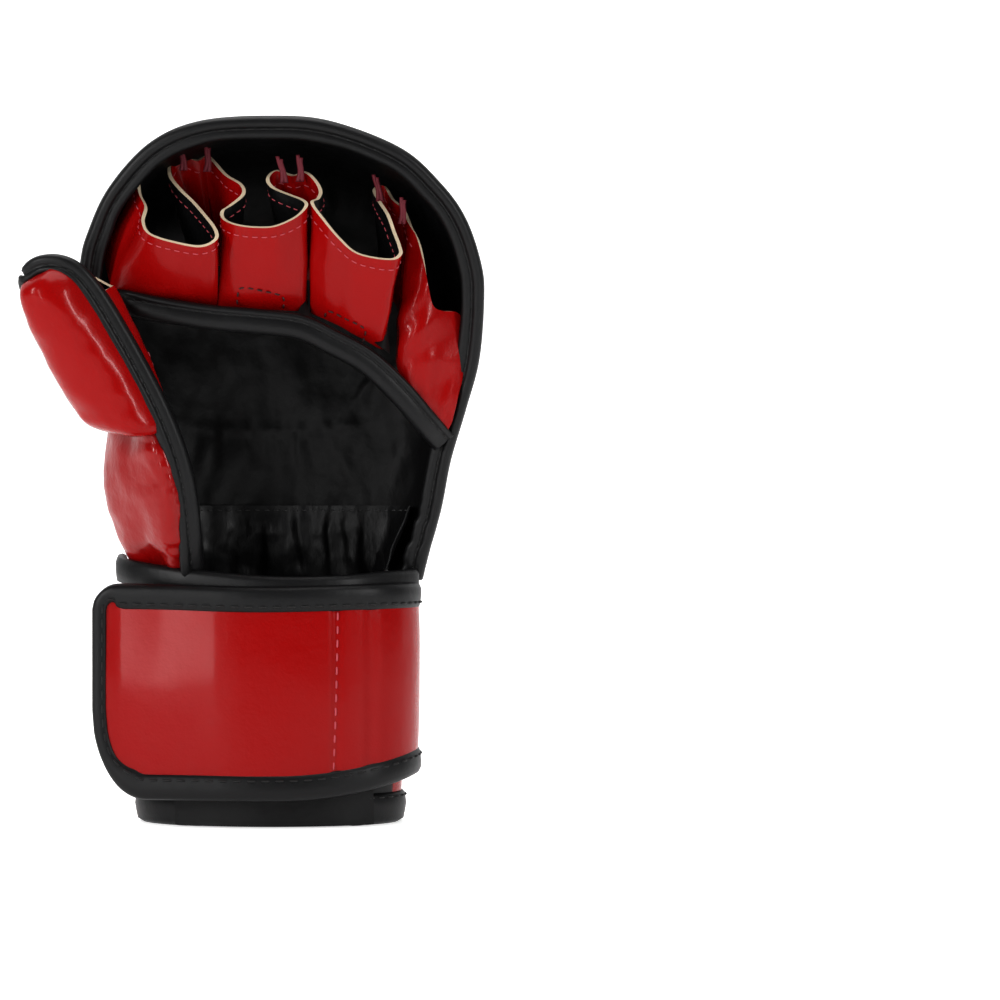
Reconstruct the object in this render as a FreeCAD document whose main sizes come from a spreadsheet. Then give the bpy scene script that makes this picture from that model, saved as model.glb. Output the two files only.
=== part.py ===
"""Left-hand MMA sparring glove, standing on its cuff: a parametric assembly of its sewn and padded pieces.

Frame: millimetres, +Z towards the fingertips, the open palm facing -Y, the thumb on the -X side.
The origin is on the floor, under the middle of the glove's overall box.
"""
import FreeCAD, Part

import math
import os
import re
from types import SimpleNamespace

import Sketcher
from FreeCAD import Placement, Rotation, Vector
from Sketcher import Constraint

# Driving sizes, in millimetres and degrees. Every alias is one cell of the sheet.
# Places are measured from the middle of the cuff's foot; a "rise" is a height above the top of the cuff.
SIZES = {
    # the middle of the cuff's foot, from the origin
    "cuff_x": 6.65, "cuff_y": 4.0,
    # cuff: an elliptical sleeve, slit on the palm side
    "cuff_height": 90.0, "cuff_foot_half_width": 46.5, "cuff_foot_half_depth": 30.0,
    "cuff_top_half_width": 50.0, "cuff_top_half_depth": 32.0, "cuff_top_shift": -2.5,
    "cuff_foam": 3.5, "cuff_slit_left": -32.0, "cuff_slit_right": 28.0, "hem_height": 8.0,
    # sheet goods
    "leather": 1.4, "lining": 1.0, "binding": 0.8, "thread": 0.8, "fit_gap": 0.3,
    # wrist band: the inner closure panel across the palm side of the cuff
    "band_foot": 16.0, "band_left": -60.0, "band_right": 22.0, "band_binding_width": 7.5,
    "patch_left": -34.0, "patch_right": -4.0, "patch_foot": 24.0, "patch_top": 70.0, "loop_pile": 0.8,
    # closure strap, in plan: a turn round the cuff's side, a flatter front, then a straight free end
    "strap_foot": 9.0, "strap_top": 84.0, "strap_left": -64.0, "strap_corner": 15.0,
    "strap_core": 1.6, "strap_hook": 1.0, "strap_front_space": 0.4, "strap_side_space": 0.7,
    "strap_front_radius": 83.0, "strap_end_slant": 12.0, "strap_binding_width": 8.0,
    "strap_seam_x": 21.0, "strap_hinge_y": -2.5, "strap_anchor_length": 24.0,
    # mitt: hand back below, knuckle shield above, both behind the leaning plane of the rim
    "palm_length": 82.0, "shield_x": 3.0, "shield_y": -18.0, "shield_tilt": 12.0,
    "shield_half_width": 70.0, "shield_depth": 62.0, "shield_half_height": 78.0,
    "rim_foam": 6.6, "knuckle_outer_foam": 11.0, "knuckle_inner_foam": 9.0, "back_foam": 12.0,
    "hand_x": 0.3, "hand_y": -4.0, "hand_half_width": 60.0, "hand_half_depth": 45.0, "hand_rise": 44.0,
    "rim_binding_height": 4.0, "gather_height": 20.0,
    # fold between hand back and knuckle shield
    "fold_y": 10.0, "fold_rise": 55.0, "fold_slant": 20.0, "fold_range": 10.0,
    # thumb guard, and the heel of the hand under it
    "thumb_base_x": -46.0, "thumb_base_y": -28.0, "thumb_base_rise": 48.0,
    "thumb_tip_x": -83.0, "thumb_tip_y": -45.0, "thumb_tip_rise": 108.0, "thumb_heading": 27.0,
    "thumb_half_width": 16.5, "thumb_half_length": 41.0, "thumb_depth": 14.0,
    "thumb_foam": 6.5, "thumb_rim_foam": 3.5, "thumb_binding_height": 3.5,
    "thumb_loop_depth": 7.0, "thumb_loop_length": 26.0, "thumb_backward": 0.0,
    "palm_edge_x": -26.0, "palm_edge_lean": 16.0,
    # finger loops: their common tilt towards the palm, then each loop's own sizes; fronts and rises are from
    # the middle of the shield's mouth
    "loop_tilt": 40.0, "loop_length": 32.0, "loop_depth": 44.0, "loop_leather": 1.4, "loop_lining": 0.9,
    "loop_bulge": 5.0, "loop_space": 1.6, "loops_inset": 20.4,
    "index_width": 26.0, "index_front": -3.0, "index_rise": 12.5, "index_lean": -3.0,
    "middle_width": 29.5, "middle_front": -4.4, "middle_rise": 10.0, "middle_lean": 0.0,
    "ring_width": 30.5, "ring_front": -3.0, "ring_rise": 2.0, "ring_lean": 5.0,
    "little_width": 18.0, "little_front": 5.0, "little_rise": -16.0, "little_lean": 9.0,
    "tack_length": 11.0, "tack_depth": 30.0, "gusset_height": 5.0, "gusset_depth": 9.0,
    # palm rim: the bound edge across the open palm, in two straight runs. Its ends are so far inside the
    # shield's sides, and all its points are so far in front of and above the middle of the shield's mouth
    "palm_rim_width": 7.0, "palm_rim_thickness": 2.6,
    "rim_start_inset": 12.5, "rim_start_y": -9.5, "rim_start_rise": 16.0,
    "rim_bend_x": 9.0, "rim_bend_y": -8.5, "rim_bend_rise": 6.5,
    "rim_end_inset": 17.5, "rim_end_y": 0.0, "rim_end_rise": -35.5,
}
REACH = 400.0  # more than the glove's longest side, for solids that only cut
X_AXIS = Vector(1, 0, 0)
Y_AXIS = Vector(0, 1, 0)
Z_AXIS = Vector(0, 0, 1)

doc = FreeCAD.newDocument("mma_glove")
sheet = doc.addObject("Spreadsheet::Sheet", "Sizes")
for row, (alias, number) in enumerate(SIZES.items(), start=1):
    sheet.set(f"A{row}", alias)
    sheet.set(f"B{row}", str(number))
    sheet.setAlias(f"B{row}", alias)
doc.recompute()

ALIASES = re.compile(r"\b(" + "|".join(sorted(SIZES, key=len, reverse=True)) + r")\b")
v = SimpleNamespace(**SIZES)
parts = []


# ---------------------------------------------------------------- building blocks

def total(*aliases):
    """The sum of some sizes, as a number and as an expression over the sheet's aliases."""
    return sum(SIZES[alias] for alias in aliases), " + ".join(aliases) or "0"


def bind(obj, **expressions):
    """Binds properties to expressions over the sheet's aliases."""
    for prop, expression in expressions.items():
        obj.setExpression(prop, ALIASES.sub(r"Sizes.\1", expression))
    return obj


def at(x, y, rise=-v.cuff_height):
    """A point measured from the middle of the cuff's foot, with its rise above the cuff's top."""
    return Vector(v.cuff_x + x, v.cuff_y + y, v.cuff_height + rise)


def ellipse(name, half_width, half_depth, place):
    """An ellipse in the place's XY plane."""
    obj = doc.addObject("Part::Ellipse", name)
    bind(obj, MajorRadius=half_width, MinorRadius=half_depth)
    obj.Placement = place
    return obj


def loft(name, sections):
    """A solid through closed sections."""
    obj = doc.addObject("Part::Loft", name)
    obj.Sections = sections
    obj.Solid = True
    return obj


def prism(name, base, direction, length):
    """base swept along direction by length, an expression."""
    obj = doc.addObject("Part::Extrusion", name)
    obj.Base = base
    obj.DirMode = "Custom"
    obj.Dir = direction
    obj.Solid = True
    return bind(obj, LengthFwd=length)


def ellipsoid(name, half_width, half_depth, half_height, place):
    """An ellipsoid on its place's axes: width along X, depth along Y, height along Z."""
    obj = doc.addObject("Part::Ellipsoid", name)
    bind(obj, Radius1=half_height, Radius2=half_width, Radius3=half_depth)
    obj.Placement = place
    return obj


def block(name, place, x=(-REACH, REACH), y=(-REACH, REACH), z=(-REACH, REACH)):
    """A box on its place's axes, between the low and high value on each."""
    obj = doc.addObject("Part::Box", name)
    obj.Length = x[1] - x[0]
    obj.Width = y[1] - y[0]
    obj.Height = z[1] - z[0]
    obj.Placement = place * Placement(Vector(x[0], y[0], z[0]), Rotation())
    return obj


def cut(name, base, tool):
    """base with tool taken away."""
    obj = doc.addObject("Part::Cut", name)
    obj.Base = base
    obj.Tool = tool
    return obj


def common(name, *shapes):
    """What all the shapes share."""
    made = shapes[0]
    for i, other in enumerate(shapes[1:], start=1):
        obj = doc.addObject("Part::Common", name if i == len(shapes) - 1 else f"{name}_{i}")
        obj.Base = made
        obj.Tool = other
        made = obj
    return made


def fuse(name, shapes):
    """All the shapes as one."""
    obj = doc.addObject("Part::MultiFuse", name)
    obj.Shapes = shapes
    return obj


def keep(obj, label):
    """Marks obj as a piece of the glove, exported under its label."""
    obj.Label = label
    parts.append(obj)
    return obj


def shells(prefix, make, insets):
    """Nested solids, make(name, side inset, back inset), and the layers between each two of them."""
    solids = [make(f"{prefix}_envelope_{i}", side, back) for i, (side, back) in enumerate(insets)]
    return solids, [cut(f"{prefix}_layer_{i}", a, b) for i, (a, b) in enumerate(zip(solids, solids[1:]))]


def frame(origin, x_axis, z_axis):
    """A place with its Z along z_axis and its X as near x_axis as it can be."""
    return Placement(origin, Rotation(x_axis, z_axis.cross(x_axis), z_axis, "ZXY"))


# ---------------------------------------------------------------- places shared by the pieces

FLOOR = Placement()
FOOT = Placement(at(0, 0), Rotation())
SHIELD = Placement(at(v.shield_x, v.shield_y, v.palm_length), Rotation(X_AXIS, v.shield_tilt))
FOLD = Placement(at(v.shield_x, v.fold_y, v.fold_rise), Rotation(Y_AXIS, v.fold_slant))
PALM_EDGE = Placement(at(v.palm_edge_x, 0, 0), Rotation(Y_AXIS, -v.palm_edge_lean))
THUMB_BASE = at(v.thumb_base_x, v.thumb_base_y, v.thumb_base_rise)
THUMB_TIP = at(v.thumb_tip_x, v.thumb_tip_y, v.thumb_tip_rise)
THUMB_ALONG = (THUMB_TIP - THUMB_BASE).normalize()


def thumb_place(origin):
    """On the thumb's line: Z towards its tip, X across it to the palm's side, -Y out of its padded face."""
    heading = math.radians(v.thumb_heading)
    across = Vector(math.cos(heading), -math.sin(heading), 0)
    across = (across - THUMB_ALONG * across.dot(THUMB_ALONG)).normalize()
    return frame(origin, across, THUMB_ALONG)


THUMB = thumb_place(THUMB_TIP - THUMB_ALONG * v.thumb_half_length)
THUMB_FOOT = thumb_place(THUMB_BASE)


def cuff_section(name, share, inset_side, inset_back):
    """The cuff's ellipse at a share of its height, inset on the sides and on the back."""
    return ellipse(
        name,
        f"cuff_foot_half_width * (1 - {share}) + cuff_top_half_width * {share} - ({inset_side})",
        f"cuff_foot_half_depth * (1 - {share}) + cuff_top_half_depth * {share} - ({inset_back})",
        Placement(at(v.cuff_top_shift * share, 0, v.cuff_height * (share - 1)), Rotation()),
    )


def cuff_cone(name, inset):
    """The cuff's outer shape, inset all round."""
    return loft(name, [cuff_section(f"{name}_foot", 0, inset, inset), cuff_section(f"{name}_top", 1, inset, inset)])


def hand_envelope(name, side, back):
    """The hand back's outer shape from the cuff's top up past the fold, inset on the sides and on the back."""
    middle = Placement(at(v.hand_x, v.hand_y, v.hand_rise), Rotation())
    top = Placement(at(v.shield_x, v.shield_y, v.palm_length), Rotation())
    return loft(name, [
        cuff_section(f"{name}_wrist", 1, side, back),
        ellipse(f"{name}_hand", f"hand_half_width - ({side})", f"hand_half_depth - ({back})", middle),
        ellipse(f"{name}_shield", f"shield_half_width - ({side})", f"shield_depth - ({back})", top),
    ])


def shield_envelope(name, side, back):
    """The knuckle shield's outer shape, inset on the sides and on the back."""
    return ellipsoid(
        name,
        f"shield_half_width - ({side})",
        f"shield_depth - ({back})",
        f"shield_half_height - ({side})",
        SHIELD,
    )


def thumb_envelope(name, side, back):
    """The thumb guard's outer shape, inset at the rim and on its padded face."""
    return ellipsoid(
        name,
        f"thumb_half_width - ({side})",
        f"thumb_depth - ({back})",
        f"thumb_half_length - ({side})",
        THUMB,
    )


def lies_below_fold(name):
    """The space of the hand back: under the fold, and clear of the shield's walls as they come forward."""
    opening = v.fold_range / 2 + 1.0
    under = block(f"{name}_under", FOLD, z=(-REACH, -v.fit_gap / 2))
    notch = block(f"{name}_notch", FOLD * Placement(Vector(), Rotation(X_AXIS, opening)), z=(-REACH, 0))
    return common(name, under, notch)


def lies_above_fold(name):
    """The space of the knuckle shield: over the fold, and clear of the hand back's walls when folded."""
    opening = v.fold_range / 2 + 1.0
    over = block(f"{name}_over", FOLD, z=(v.fit_gap / 2, REACH))
    notch = block(f"{name}_notch", FOLD * Placement(Vector(), Rotation(X_AXIS, -opening)), z=(0, REACH))
    return common(name, over, notch)


# ---------------------------------------------------------------- cuff

def make_cuff():
    """Sleeve of leather, foam and lining with a bound hem, slit on the palm side."""
    insets = ["0", "leather", "leather + cuff_foam", "leather + cuff_foam + lining"]
    cones = [cuff_cone(f"cuff_cone_{i}", inset) for i, inset in enumerate(insets)]
    slit = block("cuff_slit", FOOT, x=(v.cuff_slit_left, v.cuff_slit_right), y=(-REACH, 0))
    above_hem = block("above_hem", FLOOR, z=(v.hem_height, v.cuff_height))
    for i, label in enumerate(["cuff_cover", "cuff_foam_sleeve", "cuff_lining_sleeve"]):
        ring = common(f"{label}_ring", cut(f"{label}_wall", cones[i], cones[i + 1]), above_hem)
        keep(cut(label, ring, slit), label)
    outside = cuff_cone("hem_outside", "-binding")
    inside = cuff_cone("hem_inside", f"{insets[3]} + binding")
    hem = common("hem_ring", cut("hem_wall", outside, inside), block("hem_zone", FLOOR, z=(0, v.hem_height)))
    keep(cut("hem_binding", hem, slit), "hem_binding")


def make_wrist_band():
    """Inner closure panel: leather on lining, bound along its top, with the loop half of the fastener on it."""
    inner, middle = cuff_cone("band_inner", "-fit_gap"), cuff_cone("band_middle", "-fit_gap - lining")
    outer = cuff_cone("band_outer", "-fit_gap - lining - leather")
    across = (v.band_left, v.band_right)
    below_binding = v.cuff_height - v.band_binding_width
    panel = block("band_zone", FOOT, x=across, y=(-REACH, 0), z=(v.band_foot, below_binding))
    keep(common("wrist_band_lining", cut("band_lining_wall", middle, inner), panel), "wrist_band_lining")
    keep(common("wrist_band_cover", cut("band_cover_wall", outer, middle), panel), "wrist_band_cover")
    edge = block("band_edge_zone", FOOT, x=across, y=(-REACH, 0), z=(below_binding, v.cuff_height))
    wrap = cuff_cone("band_wrap", "-fit_gap - lining - leather - binding / 2")
    keep(common("wrist_band_binding", cut("band_binding_wall", wrap, inner), edge), "wrist_band_binding")
    pile = cuff_cone("loop_pile_outer", "-fit_gap - lining - leather - loop_pile")
    patch_width, patch_height = (v.patch_left, v.patch_right), (v.patch_foot, v.patch_top)
    patch = block("loop_patch_zone", FOOT, x=patch_width, y=(-REACH, 0), z=patch_height)
    keep(common("loop_patch", cut("loop_patch_wall", pile, outer), patch), "loop_patch")


# ---------------------------------------------------------------- sketches

def sketch_in_body(name, role):
    """An empty sketch on a base plane of a body of its own."""
    body = doc.addObject("PartDesign::Body", name)
    sketch = body.newObject("Sketcher::SketchObject", f"{name}_outline")
    plane = next(f for f in body.Origin.OriginFeatures if f.Role == role)
    sketch.AttachmentSupport = [(plane, "")]
    sketch.MapMode = "FlatFace"
    return body, sketch


def pad_in_body(body, sketch, **length):
    """The body's solid: its sketch padded."""
    pad = body.newObject("PartDesign::Pad", f"{body.Name}_pad")
    pad.Profile = sketch
    sketch.Visibility = False
    return bind(pad, **length)


def dimension(sketch, dims):
    """Adds driving dimensions (kind, items, value, expression) to a sketch."""
    for kind, items, value, expression in dims:
        index = sketch.addConstraint(Constraint(kind, *items, value))
        bind(sketch, **{f"Constraints[{index}]": expression})


def close_chain(sketch, joins):
    """Joins the ends of a sketch's edges: (edge, end, next edge, its end, whether they are tangent)."""
    for edge, end, other, other_end, smooth in joins:
        kind = "Tangent" if smooth else "Coincident"
        sketch.addConstraint(Constraint(kind, edge, end, other, other_end))


def arc(centre, radius, start, end):
    """A sketch arc, turning anticlockwise from the start angle to the end angle."""
    return Part.ArcOfCircle(Part.Circle(centre, Z_AXIS, radius), start, end)


def on_circle(centre, radius, angle):
    """The point of a circle at an angle."""
    return centre + Vector(radius * math.cos(angle), radius * math.sin(angle), 0)


# ---------------------------------------------------------------- strap

STRAP_FRONT, STRAP_FRONT_TEXT = total(
    "cuff_top_half_depth", "fit_gap", "lining", "leather", "loop_pile", "strap_front_space"
)
STRAP_SIDE, STRAP_SIDE_TEXT = total("cuff_top_half_width", "cuff_top_shift", "strap_side_space")


def strap_strip(name, inner, outer):
    """A full-height strip along the strap's curve, between two sums of thicknesses from its inner face."""
    (low, low_text), (high, high_text) = total(*inner), total(*outer)
    body, sketch = sketch_in_body(name, "XY_Plane")
    front = Vector(v.cuff_top_shift, v.strap_front_radius - STRAP_FRONT, 0)
    span, drop = STRAP_SIDE - v.cuff_top_shift, front.y - v.strap_hinge_y
    radius = v.strap_front_radius
    turn = (radius * radius - span * span - drop * drop) / (2 * (radius - span))
    side = Vector(STRAP_SIDE - turn, v.strap_hinge_y, 0)
    meet = math.atan2(side.y - front.y, side.x - front.x)
    free = -math.pi / 2 - math.radians(v.strap_end_slant)
    away = Vector(math.sin(free), -math.cos(free), 0) * (2 * v.cuff_top_half_width)
    for offset in (high, low):
        start = on_circle(front, radius + offset, free)
        sketch.addGeometry(arc(side, turn + offset, meet, 0))
        sketch.addGeometry(arc(front, radius + offset, free, meet))
        sketch.addGeometry(Part.LineSegment(start, start + away))
    outer_end, inner_end = (on_circle(front, radius + offset, free) + away for offset in (high, low))
    sketch.addGeometry(Part.LineSegment(outer_end, inner_end))
    sketch.addGeometry(Part.LineSegment(on_circle(side, turn + high, 0), on_circle(side, turn + low, 0)))
    close_chain(sketch, [
        (0, 1, 1, 2, True), (1, 1, 2, 1, True), (2, 2, 6, 1, False), (6, 2, 5, 2, False),
        (5, 1, 4, 1, True), (4, 2, 3, 1, True), (3, 2, 7, 2, False), (7, 1, 0, 2, False),
    ])
    sketch.addConstraint([
        Constraint("Coincident", 1, 3, 4, 3),
        Constraint("Perpendicular", 6, 5),
        Constraint("Parallel", 2, 5),
    ])
    slant = math.radians(v.strap_end_slant)
    dimension(sketch, [
        ("Radius", (1,), radius + high, f"strap_front_radius + {high_text}"),
        ("Radius", (4,), radius + low, f"strap_front_radius + {low_text}"),
        ("DistanceX", (-1, 1, 1, 3), front.x, "cuff_top_shift"),
        ("DistanceY", (-1, 1, 1, 3), front.y, f"strap_front_radius - ({STRAP_FRONT_TEXT})"),
        ("DistanceY", (-1, 1, 0, 3), side.y, "strap_hinge_y"),
        ("DistanceY", (-1, 1, 3, 3), side.y, "strap_hinge_y"),
        ("DistanceX", (-1, 1, 0, 2), STRAP_SIDE + high, f"{STRAP_SIDE_TEXT} + {high_text}"),
        ("DistanceX", (-1, 1, 3, 2), STRAP_SIDE + low, f"{STRAP_SIDE_TEXT} + {low_text}"),
        ("DistanceY", (-1, 1, 0, 2), side.y, "strap_hinge_y"),
        ("DistanceY", (-1, 1, 3, 2), side.y, "strap_hinge_y"),
        ("Angle", (5,), math.pi - slant, "180 deg - strap_end_slant * 1 deg"),
        ("Distance", (5,), away.Length, "2 * cuff_top_half_width"),
    ])
    pad_in_body(body, sketch, Length="cuff_height")
    body.Placement = FOOT
    return body


def rounded_plate(name, edge):
    """A plate in the XZ plane with two round corners on the thumb side, an edge's width inside the strap's outline."""
    inset, inset_text = total(*edge)
    body, sketch = sketch_in_body(name, "XZ_Plane")
    r = v.strap_corner - inset
    left, right = v.strap_left + inset, 2 * v.cuff_top_half_width
    low, high = v.strap_foot + inset, v.strap_top - inset
    line = Part.LineSegment
    sketch.addGeometry(line(Vector(left + r, low, 0), Vector(right, low, 0)))
    sketch.addGeometry(line(Vector(right, low, 0), Vector(right, high, 0)))
    sketch.addGeometry(line(Vector(right, high, 0), Vector(left + r, high, 0)))
    sketch.addGeometry(arc(Vector(left + r, high - r, 0), r, math.pi / 2, math.pi))
    sketch.addGeometry(line(Vector(left, high - r, 0), Vector(left, low + r, 0)))
    sketch.addGeometry(arc(Vector(left + r, low + r, 0), r, math.pi, 3 * math.pi / 2))
    close_chain(sketch, [
        (0, 2, 1, 1, False), (1, 2, 2, 1, False), (2, 2, 3, 1, True),
        (3, 2, 4, 1, True), (4, 2, 5, 1, True), (5, 2, 0, 1, True),
    ])
    sketch.addConstraint([
        Constraint("Horizontal", 0),
        Constraint("Vertical", 1),
        Constraint("Horizontal", 2),
        Constraint("Vertical", 4),
        Constraint("Equal", 3, 5),
    ])
    dimension(sketch, [
        ("Radius", (3,), r, f"strap_corner - ({inset_text})"),
        ("DistanceX", (-1, 1, 4, 1), left, f"strap_left + {inset_text}"),
        ("DistanceX", (-1, 1, 0, 2), right, "2 * cuff_top_half_width"),
        ("DistanceY", (-1, 1, 0, 2), low, f"strap_foot + {inset_text}"),
        ("DistanceY", (-1, 1, 1, 2), high, f"strap_top - ({inset_text})"),
    ])
    pad = pad_in_body(body, sketch, Length="4 * cuff_top_half_width")
    pad.Midplane = True
    body.Placement = FOOT
    return body


def make_strap():
    """Closure strap: cover, core and the hook half of the fastener inside a bound edge, and its sewn anchor."""
    outline = rounded_plate("strap_outline", [])
    field = rounded_plate("strap_field", ["strap_binding_width"])
    border = cut("strap_border", outline, field)
    hinge_y = v.strap_hinge_y
    front = block("strap_front", FOOT, y=(-REACH, hinge_y - v.fit_gap))
    layers = ["strap_hook", "strap_core", "leather"]
    strips = [strap_strip(f"strap_strip_{i}", layers[:i], layers[: i + 1]) for i in range(3)]
    hook_side = block("strap_hook_side", FOOT, x=(-REACH, v.strap_seam_x))
    sewn_side = block("strap_sewn_side", FOOT, x=(v.strap_seam_x, REACH))
    keep(common("strap_hook_patch", strips[0], field, front, hook_side), "strap_hook_patch")
    keep(common("strap_lining", strips[0], field, front, sewn_side), "strap_lining")
    keep(common("strap_core_pad", strips[1], field, front), "strap_core_pad")
    keep(common("strap_cover", strips[2], field, front), "strap_cover")
    wrap = strap_strip("strap_wrap", [], [*layers, "binding"])
    keep(common("strap_binding", wrap, border, front), "strap_binding")
    raised = strap_strip("strap_seam_strip", layers, [*layers, "thread"])
    seam_width = (v.strap_seam_x - v.thread / 2, v.strap_seam_x + v.thread / 2)
    seam_line = block("strap_seam_line", FOOT, x=seam_width)
    keep(common("strap_seam_thread", raised, field, front, seam_line), "strap_seam_thread")
    back = block(
        "strap_anchor_zone",
        FOOT,
        x=(0, REACH),
        y=(hinge_y, hinge_y + v.strap_anchor_length),
        z=(v.strap_foot, v.strap_top),
    )
    inner = cuff_cone("strap_anchor_inner", "-fit_gap")
    outer = cuff_cone("strap_anchor_outer", "-fit_gap - lining - leather - strap_core")
    keep(common("strap_anchor", cut("strap_anchor_wall", outer, inner), back), "strap_anchor")


# ---------------------------------------------------------------- hand back and heel

HAND_INSETS = [
    ("0", "0"),
    ("leather", "leather"),
    ("leather + rim_foam", "leather + back_foam"),
    ("leather + rim_foam + lining", "leather + back_foam + lining"),
]


def make_hand_back():
    """Padded back of the hand up to the fold, the gathered wrist panel, and the heel that wraps round the thumb's root."""
    solids, layers = shells("hand", hand_envelope, HAND_INSETS)
    below = lies_below_fold("hand_space")
    behind = block("behind_rim", SHIELD, y=(0, REACH))
    gather_top = v.cuff_height + v.gather_height
    over_gather = block("over_gather", FLOOR, z=(gather_top, REACH))
    keep(common("back_cover", layers[0], below, behind), "back_cover")
    keep(common("back_foam_pad", layers[1], below, behind), "back_foam_pad")
    lining_space = common("lining_space", below, behind, over_gather)
    keep(common("back_lining", layers[2], lining_space), "back_lining")
    gather_zone = block("gather_zone", FLOOR, z=(v.cuff_height, gather_top - v.fit_gap))
    gather_space = common("gather_space", below, behind, gather_zone)
    keep(common("wrist_gather", layers[2], gather_space), "wrist_gather")

    gap = v.fit_gap
    heel_front = block("heel_front", SHIELD, y=(-REACH, -gap))
    heel_side = block("heel_side", PALM_EDGE, x=(-REACH, 0))
    heel_top = block("heel_top", THUMB_FOOT, z=(-REACH, -gap))
    notch = Placement(Vector(0, -v.thumb_depth, 0), Rotation(X_AXIS, -v.thumb_backward - 1))
    heel_notch = block("heel_notch", THUMB_FOOT * notch, z=(-REACH, -gap))
    heel_space = common("heel_space", heel_front, heel_side, heel_top, heel_notch)
    for layer, label in zip(layers, ["heel_cover", "heel_foam_pad", "heel_lining"]):
        keep(common(label, layer, heel_space), label)

    wrap_out = hand_envelope("edge_wrap_out", "-binding", "-binding")
    wrap_in = hand_envelope("edge_wrap_in", f"{HAND_INSETS[3][0]} + binding", f"{HAND_INSETS[3][1]} + binding")
    wrap = cut("edge_wrap", wrap_out, wrap_in)
    rim_height = v.rim_binding_height
    edge = block("palm_edge_zone", PALM_EDGE, x=(gap, rim_height), y=(-REACH, 0))
    keep(common("palm_edge_binding", wrap, edge, heel_front, heel_top, heel_notch), "palm_edge_binding")
    rim = block("lower_rim_zone", SHIELD, x=(0, REACH), y=(-rim_height, -gap))
    keep(common("lower_rim_binding", wrap, rim, below), "lower_rim_binding")


# ---------------------------------------------------------------- knuckle shield

SHIELD_INSETS = [
    ("0", "0"),
    ("leather", "leather"),
    ("leather + rim_foam / 2", "leather + knuckle_outer_foam"),
    ("leather + rim_foam", "leather + knuckle_outer_foam + knuckle_inner_foam"),
    ("leather + rim_foam + lining", "leather + knuckle_outer_foam + knuckle_inner_foam + lining"),
]


def make_knuckle_shield():
    """Padded shield over knuckles and fingertips, in four layers, with its bound rim."""
    solids, layers = shells("shield", shield_envelope, SHIELD_INSETS)
    above = lies_above_fold("shield_space")
    behind = block("shield_behind_rim", SHIELD, y=(0, REACH))
    for layer, label in zip(layers, ["knuckle_cover", "knuckle_outer_pad", "knuckle_inner_pad", "knuckle_lining"]):
        keep(common(label, layer, behind, above), label)
    back_face = SHIELD * Placement(Vector(0, -v.fit_gap, 0), Rotation(X_AXIS, 90))
    upright = back_face * Placement(Vector(), Rotation(Z_AXIS, 90))
    outside = ellipse("rim_outside", "shield_half_height + binding", "shield_half_width + binding", upright)
    side = f"{SHIELD_INSETS[4][0]} + binding"
    inside = ellipse("rim_inside", f"shield_half_height - ({side})", f"shield_half_width - ({side})", upright)
    forward = SHIELD.Rotation.multVec(-Y_AXIS)
    ring = cut(
        "rim_ring",
        prism("rim_outside_solid", outside, forward, "rim_binding_height"),
        prism("rim_inside_solid", inside, forward, "rim_binding_height"),
    )
    keep(common("shield_rim_binding", ring, above), "shield_rim_binding")
    return shield_envelope("finger_cavity", f"{SHIELD_INSETS[4][0]} + fit_gap", f"{SHIELD_INSETS[4][1]} + fit_gap")


# ---------------------------------------------------------------- finger loops

FINGERS = ["index", "middle", "ring", "little"]


def from_mouth(x, y, rise):
    """A point measured from the middle of the shield's mouth."""
    return at(v.shield_x + x, v.shield_y + y, v.palm_length + rise)


def finger_size(finger, what):
    """One of a finger loop's own sizes."""
    return SIZES[f"{finger}_{what}"]


def finger_x(finger):
    """Where the middle of a finger's loop is from the shield's middle, the loops side by side from the thumb side."""
    before = FINGERS[: FINGERS.index(finger)]
    start = v.loops_inset - v.shield_half_width + sum(finger_size(f, "width") + v.loop_space for f in before)
    return start + finger_size(finger, "width") / 2


def finger_place(finger):
    """On the loop's base: Z along the finger, -Y out of the loop's front, the origin on that front."""
    foot = from_mouth(finger_x(finger), finger_size(finger, "front"), finger_size(finger, "rise"))
    lean = Rotation(Y_AXIS, finger_size(finger, "lean"))
    return Placement(foot, lean * Rotation(X_AXIS, v.loop_tilt))


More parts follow.
